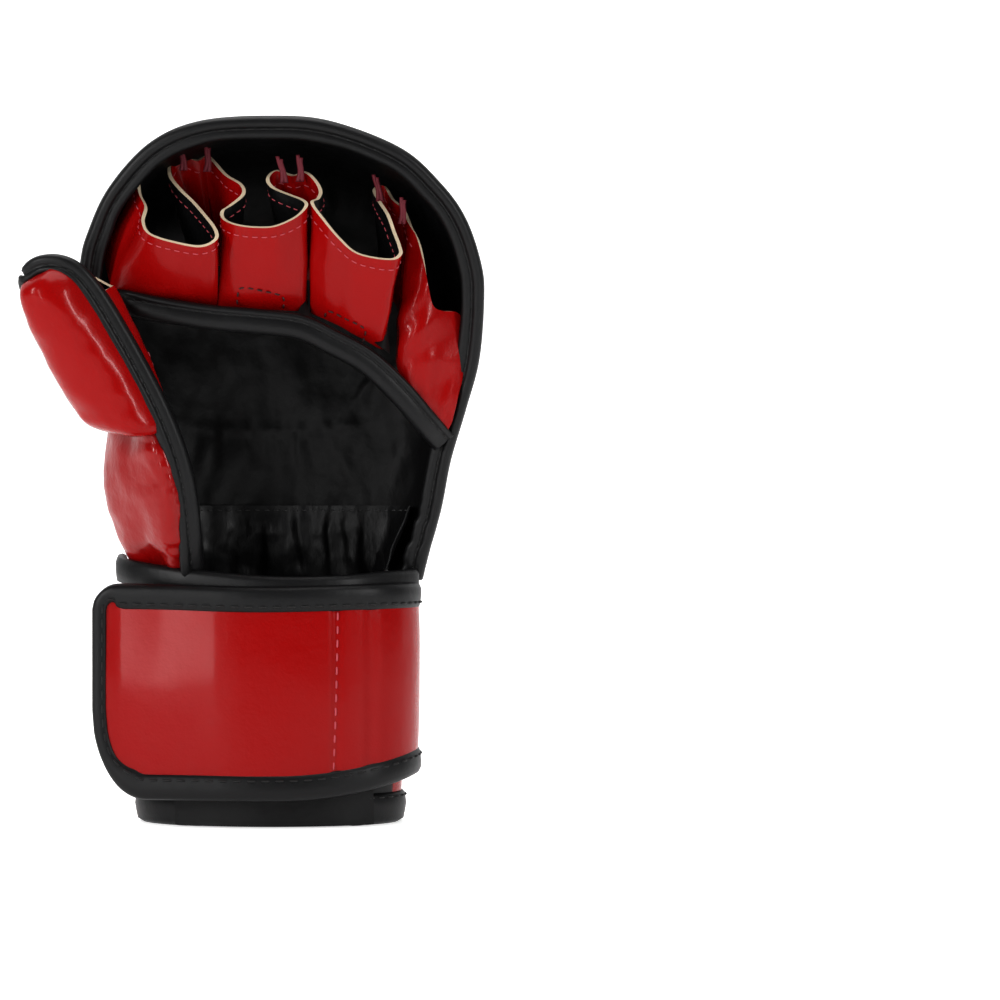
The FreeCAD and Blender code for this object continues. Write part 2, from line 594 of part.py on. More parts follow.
def loop_pad(name, finger, thickness, outside):
    """A loop's wall in plan: a bowed front and two straight legs, of even thickness, inside other layers."""
    (t, thickness_text), (outset, outset_text) = total(thickness), total(*outside)
    width, bulge = finger_size(finger, "width"), v.loop_bulge
    body, sketch = sketch_in_body(name, "XY_Plane")
    bow = (width * width / 4 + bulge * bulge) / (2 * bulge)
    bow_text = f"({finger}_width * {finger}_width / 4 + loop_bulge * loop_bulge) / (2 * loop_bulge)"
    centre = Vector(0, bow, 0)
    outer, inner = width / 2 - outset, width / 2 - outset - t
    r_outer, r_inner = bow - outset, bow - outset - t
    depth = v.loop_depth

    def front(x, radius):
        return Vector(x, bow - math.sqrt(radius * radius - x * x), 0)

    def bowed(x, radius):
        turn = math.asin(x / radius)
        return arc(centre, radius, 3 * math.pi / 2 - turn, 3 * math.pi / 2 + turn)

    line = Part.LineSegment
    sketch.addGeometry(bowed(outer, r_outer))
    sketch.addGeometry(line(front(outer, r_outer), Vector(outer, depth, 0)))
    sketch.addGeometry(line(Vector(outer, depth, 0), Vector(inner, depth, 0)))
    sketch.addGeometry(line(Vector(inner, depth, 0), front(inner, r_inner)))
    sketch.addGeometry(bowed(inner, r_inner))
    sketch.addGeometry(line(front(-inner, r_inner), Vector(-inner, depth, 0)))
    sketch.addGeometry(line(Vector(-inner, depth, 0), Vector(-outer, depth, 0)))
    sketch.addGeometry(line(Vector(-outer, depth, 0), front(-outer, r_outer)))
    close_chain(sketch, [
        (0, 2, 1, 1, False), (1, 2, 2, 1, False), (2, 2, 3, 1, False), (3, 2, 4, 2, False),
        (4, 1, 5, 1, False), (5, 2, 6, 1, False), (6, 2, 7, 1, False), (7, 2, 0, 1, False),
    ])
    sketch.addConstraint([
        Constraint("Coincident", 0, 3, 4, 3),
        Constraint("PointOnObject", 0, 3, -2),
        Constraint("Vertical", 1),
        Constraint("Horizontal", 2),
        Constraint("Vertical", 3),
        Constraint("Vertical", 5),
        Constraint("Vertical", 7),
        Constraint("Symmetric", 1, 2, 6, 2, -2),
        Constraint("Symmetric", 3, 1, 5, 2, -2),
    ])
    dimension(sketch, [
        ("Radius", (0,), r_outer, f"{bow_text} - ({outset_text})"),
        ("Radius", (4,), r_inner, f"{bow_text} - ({outset_text}) - {thickness_text}"),
        ("DistanceY", (-1, 1, 0, 3), bow, bow_text),
        ("DistanceX", (6, 2, 1, 2), 2 * outer, f"{finger}_width - 2 * ({outset_text})"),
        ("DistanceX", (2, 2, 1, 2), t, thickness_text),
        ("DistanceY", (-1, 1, 1, 2), depth, "loop_depth"),
    ])
    pad_in_body(body, sketch, Length="loop_length")
    body.Placement = finger_place(finger)
    return body


def make_finger_loops(cavity):
    """Four leather loops with their linings, side by side between the palm rim and the shield's lining."""
    above = lies_above_fold("loop_space_above_fold")
    inside_rim = block("loops_inside_rim", SHIELD, y=(0, REACH))
    room = ellipse_room("loops_in_front", cavity, inside_rim)
    for finger in FINGERS:
        cover = loop_pad(f"{finger}_cover_body", finger, "loop_leather", [])
        inner = loop_pad(f"{finger}_lining_body", finger, "loop_lining", ["loop_leather"])
        keep(common(f"{finger}_loop_cover", cover, room, above), f"{finger}_loop_cover")
        keep(common(f"{finger}_loop_lining", inner, room, above), f"{finger}_loop_lining")


def ellipse_room(name, cavity, behind):
    """The room for the loops: the shield's cavity, and the column that its rim's mouth leaves in front of it."""
    side = f"{SHIELD_INSETS[4][0]} + binding + fit_gap"
    upright = SHIELD * Placement(Vector(), Rotation(X_AXIS, 90)) * Placement(Vector(), Rotation(Z_AXIS, 90))
    mouth = ellipse(f"{name}_mouth", f"shield_half_height - ({side})", f"shield_half_width - ({side})", upright)
    column = prism(f"{name}_column", mouth, SHIELD.Rotation.multVec(-Y_AXIS), "shield_depth")
    return fuse(name, [column, common(f"{name}_inside", cavity, behind)])


def make_small_pieces(cavity):
    """Gussets and bar tacks between the loops, and the side panel under the little finger's loop."""
    gussets, tacks = [], []
    half = v.loop_space / 2 - 0.1
    for finger, other in zip(FINGERS, FINGERS[1:]):
        place = finger_place(finger)
        gap_x = finger_size(finger, "width") / 2 + v.loop_space / 2
        gussets.append(block(
            f"{finger}_gusset",
            place * Placement(Vector(gap_x, v.loop_bulge, 0), Rotation()),
            x=(-half, half),
            y=(0, v.gusset_depth),
            z=(0, v.gusset_height),
        ))
        for owner, side in ((finger, 1), (other, -1)):
            tack = doc.addObject("Part::Cylinder", f"{owner}_tack")
            bind(tack, Radius="0.75 * thread", Height="tack_length")
            x = side * (finger_size(owner, "width") / 2 - v.loop_leather / 2)
            foot = Vector(x, v.tack_depth, v.loop_length - 0.75 * v.tack_length)
            tack.Placement = finger_place(owner) * Placement(foot, Rotation())
            tacks.append(tack)
    keep(fuse("finger_gussets", gussets), "finger_gussets")
    keep(fuse("bar_tacks", tacks), "bar_tacks")
    plate = block("side_panel_plate", SHIELD, y=(1.5, 1.5 + v.leather))
    bend, end = rim_points()[1:]
    over_rim = block("side_panel_over_rim", rim_run_place(bend, end), z=(v.palm_rim_width / 2, REACH))
    under_loop = block("side_panel_under_loop", finger_place("little"), z=(-REACH, -v.fit_gap))
    beside = Placement(Vector(finger_size("ring", "width") / 2 + v.fit_gap, 0, 0), Rotation())
    beside_ring = block("side_panel_beside_ring", finger_place("ring") * beside, x=(0, REACH))
    panel = common("side_panel", plate, cavity, over_rim, under_loop, beside_ring)
    keep(panel, "side_panel")


def rim_points():
    """The palm rim's start on the thumb side, its bend, and its end on the little finger's side."""
    return (
        from_mouth(v.rim_start_inset - v.shield_half_width, v.rim_start_y, v.rim_start_rise),
        from_mouth(v.rim_bend_x, v.rim_bend_y, v.rim_bend_rise),
        from_mouth(v.shield_half_width - v.rim_end_inset, v.rim_end_y, v.rim_end_rise),
    )


def rim_run_place(start, end):
    """On a straight run of the palm rim: X along it, Z across it towards the fingers."""
    along = (end - start).normalize()
    across = along.cross(Y_AXIS).normalize()
    if across.z < 0:
        across = across * -1
    return frame(start, along, across)


def make_palm_rim():
    """The bound edge across the open palm."""
    start, bend, end = rim_points()
    half, thick = v.palm_rim_width / 2, v.palm_rim_thickness
    runs = []
    for name, a, b in (("palm_rim_upper", start, bend), ("palm_rim_side", bend, end)):
        runs.append(block(name, rim_run_place(a, b), x=(0, (b - a).Length), y=(0, thick), z=(-half, half)))
    turn = doc.addObject("Part::Cylinder", "palm_rim_turn")
    bind(turn, Radius="palm_rim_width / 2", Height="palm_rim_thickness")
    turn.Placement = Placement(bend, Rotation(X_AXIS, -90))
    whole = fuse("palm_rim_whole", [*runs, turn])
    keep(common("palm_rim", whole, lies_above_fold("palm_rim_space")), "palm_rim")


# ---------------------------------------------------------------- thumb

THUMB_INSETS = [
    ("0", "0"),
    ("leather", "leather"),
    ("leather + thumb_rim_foam", "leather + thumb_foam"),
    ("leather + thumb_rim_foam + lining", "leather + thumb_foam + lining"),
]


def make_thumb():
    """Padded thumb guard, an outward half shell with a bound rim and a leather loop closing its hand side."""
    solids, layers = shells("thumb", thumb_envelope, THUMB_INSETS)
    gap = v.fit_gap
    above = block("thumb_above_base", THUMB_FOOT, z=(gap, REACH))
    outward = block("thumb_outward", THUMB, y=(-REACH, 0))
    for layer, label in zip(layers, ["thumb_cover", "thumb_foam_pad", "thumb_lining"]):
        keep(common(label, layer, outward, above), label)
    rim_wall = cut(
        "thumb_rim_wall",
        thumb_envelope("thumb_rim_outside", "-binding", "-binding"),
        thumb_envelope("thumb_rim_inside", f"{THUMB_INSETS[3][0]} + binding", f"{THUMB_INSETS[3][1]} + binding"),
    )
    rim = block("thumb_rim_zone", THUMB, y=(gap, v.thumb_binding_height))
    keep(common("thumb_rim_binding", rim_wall, rim, above), "thumb_rim_binding")

    foot = THUMB * Placement(Vector(0, v.thumb_binding_height, -v.thumb_loop_length / 2), Rotation())
    along = foot.Rotation.multVec(Z_AXIS)
    outer = prism(
        "thumb_loop_outer",
        ellipse("thumb_loop_outer_curve", "thumb_half_width - leather", "thumb_loop_depth", foot),
        along,
        "thumb_loop_length",
    )
    inner = prism(
        "thumb_loop_inner",
        ellipse("thumb_loop_inner_curve", "thumb_half_width - 2 * leather", "thumb_loop_depth - leather", foot),
        along,
        "thumb_loop_length",
    )
    hand_side = block("thumb_hand_side", THUMB, y=(v.thumb_binding_height + gap, REACH))
    keep(common("thumb_loop", cut("thumb_loop_wall", outer, inner), hand_side), "thumb_loop")


# ---------------------------------------------------------------- assembly and export

def check_and_export():
    """Stops on any failed object or shape, then writes one STEP file a piece."""
    doc.recompute()
    for obj in doc.Objects:
        if {"Invalid", "Error"} & set(obj.State):
            raise SystemExit(f"{obj.Label} failed: {obj.State}")
    os.makedirs("parts", exist_ok=True)
    for obj in parts:
        shape = obj.Shape
        if shape.isNull() or not shape.isValid() or not shape.Solids:
            raise SystemExit(f"{obj.Label} has no valid solid")
        shape.exportStep(os.path.join("parts", f"{obj.Label}.step"))
        print(f"{obj.Label}: {len(shape.Solids)} solid, {shape.Volume / 1000:.2f} cm3")


make_cuff()
make_wrist_band()
make_strap()
make_hand_back()
finger_cavity = make_knuckle_shield()
make_finger_loops(finger_cavity)
make_small_pieces(finger_cavity)
make_palm_rim()
make_thumb()
check_and_export()
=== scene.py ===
"""Looks of a left-hand, open-palm sparring glove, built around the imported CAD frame.

Sizes here are in millimetres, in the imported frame's axes: +Z up, -Y out of the open palm and -X towards the
thumb. The glove stands on its cuff.
"""

import json
import math

import bpy
import numpy as np
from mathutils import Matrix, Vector, noise


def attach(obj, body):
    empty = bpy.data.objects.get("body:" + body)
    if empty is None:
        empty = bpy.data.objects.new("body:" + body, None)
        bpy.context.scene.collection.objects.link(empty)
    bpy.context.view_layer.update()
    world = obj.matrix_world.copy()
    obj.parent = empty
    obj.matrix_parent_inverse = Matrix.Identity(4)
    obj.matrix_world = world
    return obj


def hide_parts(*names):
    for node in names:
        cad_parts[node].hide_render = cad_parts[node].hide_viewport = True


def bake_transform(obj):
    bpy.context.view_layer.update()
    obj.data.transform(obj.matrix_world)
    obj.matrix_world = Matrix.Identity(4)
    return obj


MM = 0.001
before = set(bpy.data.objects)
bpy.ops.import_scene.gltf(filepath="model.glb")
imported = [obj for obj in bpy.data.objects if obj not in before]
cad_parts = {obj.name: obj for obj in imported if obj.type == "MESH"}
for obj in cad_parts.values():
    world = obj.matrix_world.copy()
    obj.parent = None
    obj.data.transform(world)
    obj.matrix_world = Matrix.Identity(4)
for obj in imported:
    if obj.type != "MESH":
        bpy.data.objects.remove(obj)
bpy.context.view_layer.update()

# The front view that the outlines are given in: a level camera this far off and this high. It shows this width
# at the plane y = 0, with the glove this far left of the picture's middle.
VIEW_DISTANCE = 1310.0
VIEW_HEIGHT = 114.0
FIELD = 355.0
LEFT_OF_MIDDLE = 87.9

# The leaning plane of the glove's rim, and the fold where the knuckle shield bends.
RIM_MIDDLE = np.array([9.65, -14.0, 172.0])
RIM_TILT = math.radians(12.0)
RIM_BACK = np.array([0.0, math.cos(RIM_TILT), math.sin(RIM_TILT)])
FOLD_POINT = np.array([9.65, 14.0, 145.0])
FOLD_UP = np.array([math.sin(math.radians(20)), 0.0, math.cos(math.radians(20))])
CUFF_TOP = 90.0

# Quilting on the back: the second seam is this far above the fold, with channels between them at these x.
KNUCKLE_SEAM = 42
CHANNELS = (-22, 8, 38)

# Gathered nylon above the cuff: where it starts and ends.
GATHERS_BOTTOM, GATHERS_TOP = 84, 112

# Closure strap: how far its free end leans out, where that end is, and the row of stitches across its face.
STRAP_LEAN = math.radians(12)
STRAP_END_X = -54.6
STRAP_SEAM_X = 27.8


# ---------------------------------------------------------------- numbers into shapes

def unit(a):
    """Vectors scaled to length one."""
    return a / np.maximum(np.linalg.norm(a, axis=-1, keepdims=True), 1e-9)


def seen(x, z, y):
    """The point at depth y that the front view shows at (x, z) of the plane y = 0."""
    near = (VIEW_DISTANCE + y) / VIEW_DISTANCE
    return np.array([x * near, y, VIEW_HEIGHT + (z - VIEW_HEIGHT) * near])


def rim_depth(z):
    """Where the rim's plane is at height z."""
    return RIM_MIDDLE[1] - (z - RIM_MIDDLE[2]) * math.tan(RIM_TILT)


def spline(points, count):
    """Evenly spaced points of a smooth curve through the given ones."""
    p = np.array(points, float)
    line = np.vstack([2 * p[:1] - p[1:2], p, 2 * p[-1:] - p[-2:-1]])
    t = np.linspace(0, 1, 20, endpoint=False)[:, None]
    dense = []
    for a, b, c, d in zip(line, line[1:], line[2:], line[3:]):
        dense.append(0.5 * (2 * b + (c - a) * t + (2 * a - 5 * b + 4 * c - d) * t**2
                            + (3 * b - a - 3 * c + d) * t**3))
    return even(np.vstack(dense + [p[-1:]]), count)


def distances(line):
    """How far along a polyline each of its points is."""
    return np.concatenate([[0], np.cumsum(np.linalg.norm(np.diff(line, axis=0), axis=1))])


def even(line, count):
    """A polyline resampled to count evenly spaced points."""
    run = distances(line)
    at = np.linspace(0, run[-1], count)
    return np.stack([np.interp(at, run, line[:, k]) for k in range(line.shape[1])], 1)


def tangents(line):
    """Directions along a polyline."""
    return unit(np.gradient(line, axis=0))


def normals(grid):
    """Unit normals of a grid of points."""
    return unit(np.cross(np.gradient(grid, axis=0), np.gradient(grid, axis=1)))


def level_ways(points, middle_x, middle_y):
    """Level directions from an upright line at (middle_x, middle_y) to the points."""
    return unit((points - np.array([middle_x, middle_y, 0])) * np.array([1, 1, 0]))


def rough(points, size, seed):
    """Smooth random heights from -1 to 1 with features of the given size, in x, y and z."""
    size = np.broadcast_to(np.array(size, float), (3,))
    shift = Vector((37.1 * seed, 11.7 * seed, 5.3 * seed))
    flat = (points / size).reshape(-1, 3)
    return np.array([noise.noise(Vector(p) + shift) for p in flat]).reshape(points.shape[:-1])


def bell(distance, width):
    """One at no distance, falling smoothly to nothing over about two widths."""
    return np.exp(-((distance / width) ** 2))


def step(value, low, high):
    """Smoothly from zero at low to one at high."""
    t = np.clip((value - low) / (high - low), 0, 1)
    return t * t * (3 - 2 * t)


# ---------------------------------------------------------------- shapes into pieces

def piece(name, points, faces, materials, face_materials=None):
    """A smooth mesh from points in millimetres."""
    mesh = bpy.data.meshes.new(name)
    mesh.from_pydata((np.asarray(points) * MM).tolist(), [], faces)
    for material in materials:
        mesh.materials.append(material)
    mesh.polygons.foreach_set("use_smooth", [True] * len(faces))
    if face_materials is not None:
        mesh.polygons.foreach_set("material_index", face_materials)
    mesh.update()
    obj = bpy.data.objects.new(name, mesh)
    bpy.context.scene.collection.objects.link(obj)
    return obj


def grid_faces(rows, columns, start=0, wrap=False, flip=False):
    """Four-sided faces of a grid of points; wrap joins its last row to its first."""
    faces = []
    for i in range(rows if wrap else rows - 1):
        below = start + (i + 1) % rows * columns
        here = start + i * columns
        for j in range(columns - 1):
            face = (here + j, below + j, below + j + 1, here + j + 1)
            faces.append(face[::-1] if flip else face)
    return faces


def slab(name, outer, inner, materials, wrap=False):
    """A sheet between two grids. Materials: outer face, inner face, cut edge."""
    rows, columns = outer.shape[:2]
    size = rows * columns
    points = [outer.reshape(-1, 3), inner.reshape(-1, 3)]
    faces = grid_faces(rows, columns, 0, wrap)
    kinds = [0] * len(faces)
    faces += grid_faces(rows, columns, size, wrap, flip=True)
    kinds += [1] * (len(faces) - len(kinds))
    borders = [(outer[:, 0], inner[:, 0], wrap), (inner[:, -1], outer[:, -1], wrap)]
    if not wrap:
        borders += [(inner[0], outer[0], False), (outer[-1], inner[-1], False)]
    start = 2 * size
    for top, bottom, closed in borders:
        middle = (top + bottom) / 2
        edge = np.stack([top, middle, bottom], 1)
        points.append(edge.reshape(-1, 3))
        faces += grid_faces(len(top), 3, start, closed)
        kinds += [2] * (len(faces) - len(kinds))
        start += edge.shape[0] * 3
    return piece(name, np.vstack(points), faces, materials, kinds)


def sweep(name, path, across, out, profile, material):
    """A closed profile of (across, out) offsets carried along a path, with capped ends."""
    profile = np.array(profile, float)
    grid = path[:, None] + across[:, None] * profile[None, :, :1] + out[:, None] * profile[None, :, 1:]
    rows, columns = grid.shape[:2]
    faces = []
    for i in range(rows - 1):
        here, below = i * columns, (i + 1) * columns
        for j in range(columns):
            k = (j + 1) % columns
            faces.append((here + j, here + k, below + k, below + j))
    faces.append(tuple(range(columns))[::-1])
    faces.append(tuple(range((rows - 1) * columns, rows * columns)))
    return piece(name, grid.reshape(-1, 3), faces, [material])


def stitches(name, path, out, material, length=3.0, gap=1.7, radius=0.38):
    """A row of short threads lying on a path, each dipping in at its ends."""
    run = distances(path)
    count = max(1, int(run[-1] / (length + gap)))
    centres = (np.arange(count) + 0.5) * run[-1] / count
    turn = np.linspace(0, 2 * math.pi, 6, endpoint=False)
    points, faces = [], []
    for centre in centres:
        ring_start = len(points) * 6
        for share in (-1, -0.75, 0, 0.75, 1):
            at = centre + share * length / 2
            spot = np.array([np.interp(at, run, path[:, k]) for k in range(3)])
            up = unit(np.array([np.interp(at, run, out[:, k]) for k in range(3)]))
            ahead = np.array([np.interp(at + 0.3, run, path[:, k]) for k in range(3)])
            behind = np.array([np.interp(at - 0.3, run, path[:, k]) for k in range(3)])
            side = unit(np.cross(ahead - behind, up))
            thick = radius * (0.35 if abs(share) == 1 else 1)
            spot = spot + up * (-0.5 * share**2) * radius
            points.append([spot + thick * (side * math.cos(a) + up * math.sin(a)) for a in turn])
        for r in range(4):
            for j in range(6):
                k = (j + 1) % 6
                low = ring_start + r * 6
                faces.append((low + j, low + 6 + j, low + 6 + k, low + k))
    return piece(name, np.array(points).reshape(-1, 3), faces, [material])


# ---------------------------------------------------------------- materials

def material(name, colour, roughness, bumps, coat=0.0, coat_roughness=0.1, specular=0.5, sheen=0.0):
    """A surface with one colour and fine relief. Each bump: feature size and height in mm, scale, detail."""
    made = bpy.data.materials.new(name)
    made.use_nodes = True
    nodes, links = made.node_tree.nodes, made.node_tree.links
    shader = nodes["Principled BSDF"]
    shader.inputs["Base Color"].default_value = (*colour, 1)
    shader.inputs["Roughness"].default_value = roughness
    shader.inputs["Specular IOR Level"].default_value = specular
    shader.inputs["Coat Weight"].default_value = coat
    shader.inputs["Coat Roughness"].default_value = coat_roughness
    shader.inputs["Sheen Weight"].default_value = sheen
    place = nodes.new("ShaderNodeTexCoord")
    before = None
    for size, height, stretch, detail in bumps:
        scale = nodes.new("ShaderNodeMapping")
        scale.inputs["Scale"].default_value = stretch
        links.new(place.outputs["Object"], scale.inputs["Vector"])
        pattern = nodes.new("ShaderNodeTexNoise")
        pattern.inputs["Scale"].default_value = 1 / (size * MM)
        pattern.inputs["Detail"].default_value = detail
        links.new(scale.outputs["Vector"], pattern.inputs["Vector"])
        bump = nodes.new("ShaderNodeBump")
        bump.inputs["Strength"].default_value = 1.0
        bump.inputs["Distance"].default_value = height * MM
        links.new(pattern.outputs["Fac"], bump.inputs["Height"])
        if before:
            links.new(before.outputs["Normal"], bump.inputs["Normal"])
        before = bump
    if before:
        links.new(before.outputs["Normal"], shader.inputs["Normal"])
    return made


EVEN = (1, 1, 1)
LEATHER = material("red_gloss_leather", (0.265, 0.002, 0.002), 0.26,
                   [(14, 0.5, EVEN, 3), (0.8, 0.07, EVEN, 2)], coat=0.16, coat_roughness=0.1, specular=0.12)
CREASED = material("red_creased_leather", (0.24, 0.002, 0.002), 0.28,
                   [(16, 1.0, (1, 1, 0.6), 3), (5, 0.3, EVEN, 2), (0.9, 0.06, EVEN, 2)],
                   coat=0.32, coat_roughness=0.1, specular=0.15)
BINDING = material("black_binding_tape", (0.006, 0.006, 0.0065), 0.42,
                   [(9, 0.25, EVEN, 2), (0.7, 0.05, EVEN, 2)], specular=0.3)
LINING = material("black_nylon", (0.002, 0.002, 0.0023), 0.5,
                  [(12, 0.8, EVEN, 3), (0.6, 0.03, EVEN, 2)], specular=0.3)
NYLON = material("black_gathered_nylon", (0.003, 0.003, 0.0034), 0.42,
                 [(6, 0.7, (1, 1, 0.45), 3), (0.6, 0.02, EVEN, 2)], specular=0.35)
RAW_EDGE = material("cream_raw_edge", (0.52, 0.43, 0.31), 0.8, [(0.8, 0.08, EVEN, 2)])
BLACK_THREAD = material("black_thread", (0.004, 0.004, 0.004), 0.6, [])
GREY_THREAD = material("grey_thread", (0.05, 0.05, 0.05), 0.6, [])
PINK_THREAD = material("pink_thread", (0.42, 0.07, 0.09), 0.6, [])
MAROON_THREAD = material("maroon_thread", (0.12, 0.006, 0.016), 0.65, [])
DARK_THREAD = material("dark_thread", (0.035, 0.004, 0.005), 0.6, [])
PILE = material("loop_pile", (0.010, 0.010, 0.011), 0.95, [(0.8, 0.5, EVEN, 3)], sheen=0.3)
HOOKS = material("hook_tape", (0.014, 0.014, 0.015), 0.75, [(1.2, 0.6, EVEN, 1)])


def ready(obj, body=None, bend=None, stands_for=()):
    """Parents a piece to the body it rides on, or bakes its place in when it spans a bend, and hides the CAD
    nodes it stands for.
    """
    if bend:
        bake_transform(obj)
    else:
        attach(obj, body)
    if stands_for:
        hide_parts(*stands_for)
    return obj


ACROSS_FOLD = ("hand_back", "knuckle_shield", FOLD_POINT - 20 * FOLD_UP, FOLD_POINT + 20 * FOLD_UP)
THUMB_BASE = np.array([-39.35, -24.0, 138.0])
THUMB_ALONG = unit(np.array([-37.0, -17.0, 60.0]))
THUMB_OUT = -np.array([0.401, 0.786, 0.470])
ACROSS_THUMB = ("hand_back", "thumb", THUMB_BASE - 8 * THUMB_ALONG, THUMB_BASE + 14 * THUMB_ALONG)
ACROSS_HINGE = ("hand_back", "strap", (59.0, 5.5, 46.0), (59.0, -4.5, 46.0))


# ---------------------------------------------------------------- shell of the glove

# The glove's outline as seen from the front, from the thumb side of the cuff over the top and down.
OUTLINE = [
    (-44, 92), (-46.5, 112), (-49, 130), (-55, 150), (-60, 170), (-61.4, 186), (-60.6, 198.8),
    (-58.2, 208.4), (-50.8, 224.4), (-36.4, 240.3), (-18.6, 248.1), (6.2, 249.9), (27.5, 248.1),
    (52.4, 238.6), (66.6, 226.1), (75.4, 213.7), (80.8, 197.7), (81.8, 185.3), (80.1, 164),
    (75.4, 146.3), (70.1, 128.5), (66.6, 110.8), (62.2, 95), (60, 86),
]


def cuff_ring(height, inset, start, end, count):
    """Part of the cuff's oval at a height, from one angle to another (degrees, 0 at +X, 90 at the back)."""
    share = height / CUFF_TOP
    angle = np.radians(np.linspace(start, end, count))
    x = 6.65 - 2.5 * share + (46.5 + 3.5 * share - inset) * np.cos(angle)
    y = 4.0 + (30.0 + 2.0 * share - inset) * np.sin(angle)
    return np.stack([x, y, np.full(count, float(height))], 1)


def rim_line(inset, count, first=0):
    """The outline in the rim's plane from its given point on, moved inwards, with its inward directions."""
    points = [seen(x, z, rim_depth(z)) for x, z in OUTLINE[first:]]
    line = spline(points, count)
    inward = unit(np.cross(tangents(line), RIM_BACK))
    middle = RIM_MIDDLE - line
    if np.sum(inward * middle) < 0:
        inward = -inward
    return line + inward * inset, inward


def dome(inset, pole, rim_pull, columns, rim_back, square=0.55):
    """A bowl from the rim and the cuff's back to its deepest point, the pole. Its rows are along the border.

    rim_pull says how straight back it leaves the rim, rim_back how far behind the rim it starts, and square
    how flat it is near the pole.
    """
    rim, _ = rim_line(inset, 150)
    rim = rim + RIM_BACK * rim_back
    cuff = cuff_ring(CUFF_TOP - 1, inset, 0, 180, 52)[1:-1]
    border = np.vstack([rim, cuff])
    border = np.stack([np.roll(border, 1, 0), border, np.roll(border, -1, 0)], 1).mean(1)
    turn = np.zeros(len(border))
    turn[:len(rim)] = 1
    for _ in range(260):
        turn = (np.roll(turn, 1) + turn * 2 + np.roll(turn, -1)) / 4
    start = unit(turn[:, None] * np.array([0, 1.0, 0]) + (1 - turn[:, None]) * np.array([0, 0, 1.0]))
    flat = (pole - border) * np.array([1, 0, 1])
    far = np.linalg.norm(flat, axis=1, keepdims=True)
    deep = pole[1] - border[:, 1:2]
    pull = turn[:, None] * rim_pull * deep + (1 - turn[:, None]) * 0.38 * far
    a, b, c = border, border + start * pull, pole - unit(flat) * square * far
    t = (1 - (1 - np.linspace(0, 1, columns)) ** 1.15)[None, :, None]
    a, b, c = a[:, None], b[:, None], c[:, None]
    bowl = a * (1 - t)**3 + 3 * b * t * (1 - t)**2 + 3 * c * t**2 * (1 - t) + pole * t**3
    away = step(t, 0.04, 0.3)
    for _ in range(80):
        bowl = bowl + away * (np.roll(bowl, 1, 0) + np.roll(bowl, -1, 0) - 2 * bowl) / 4
    return bowl


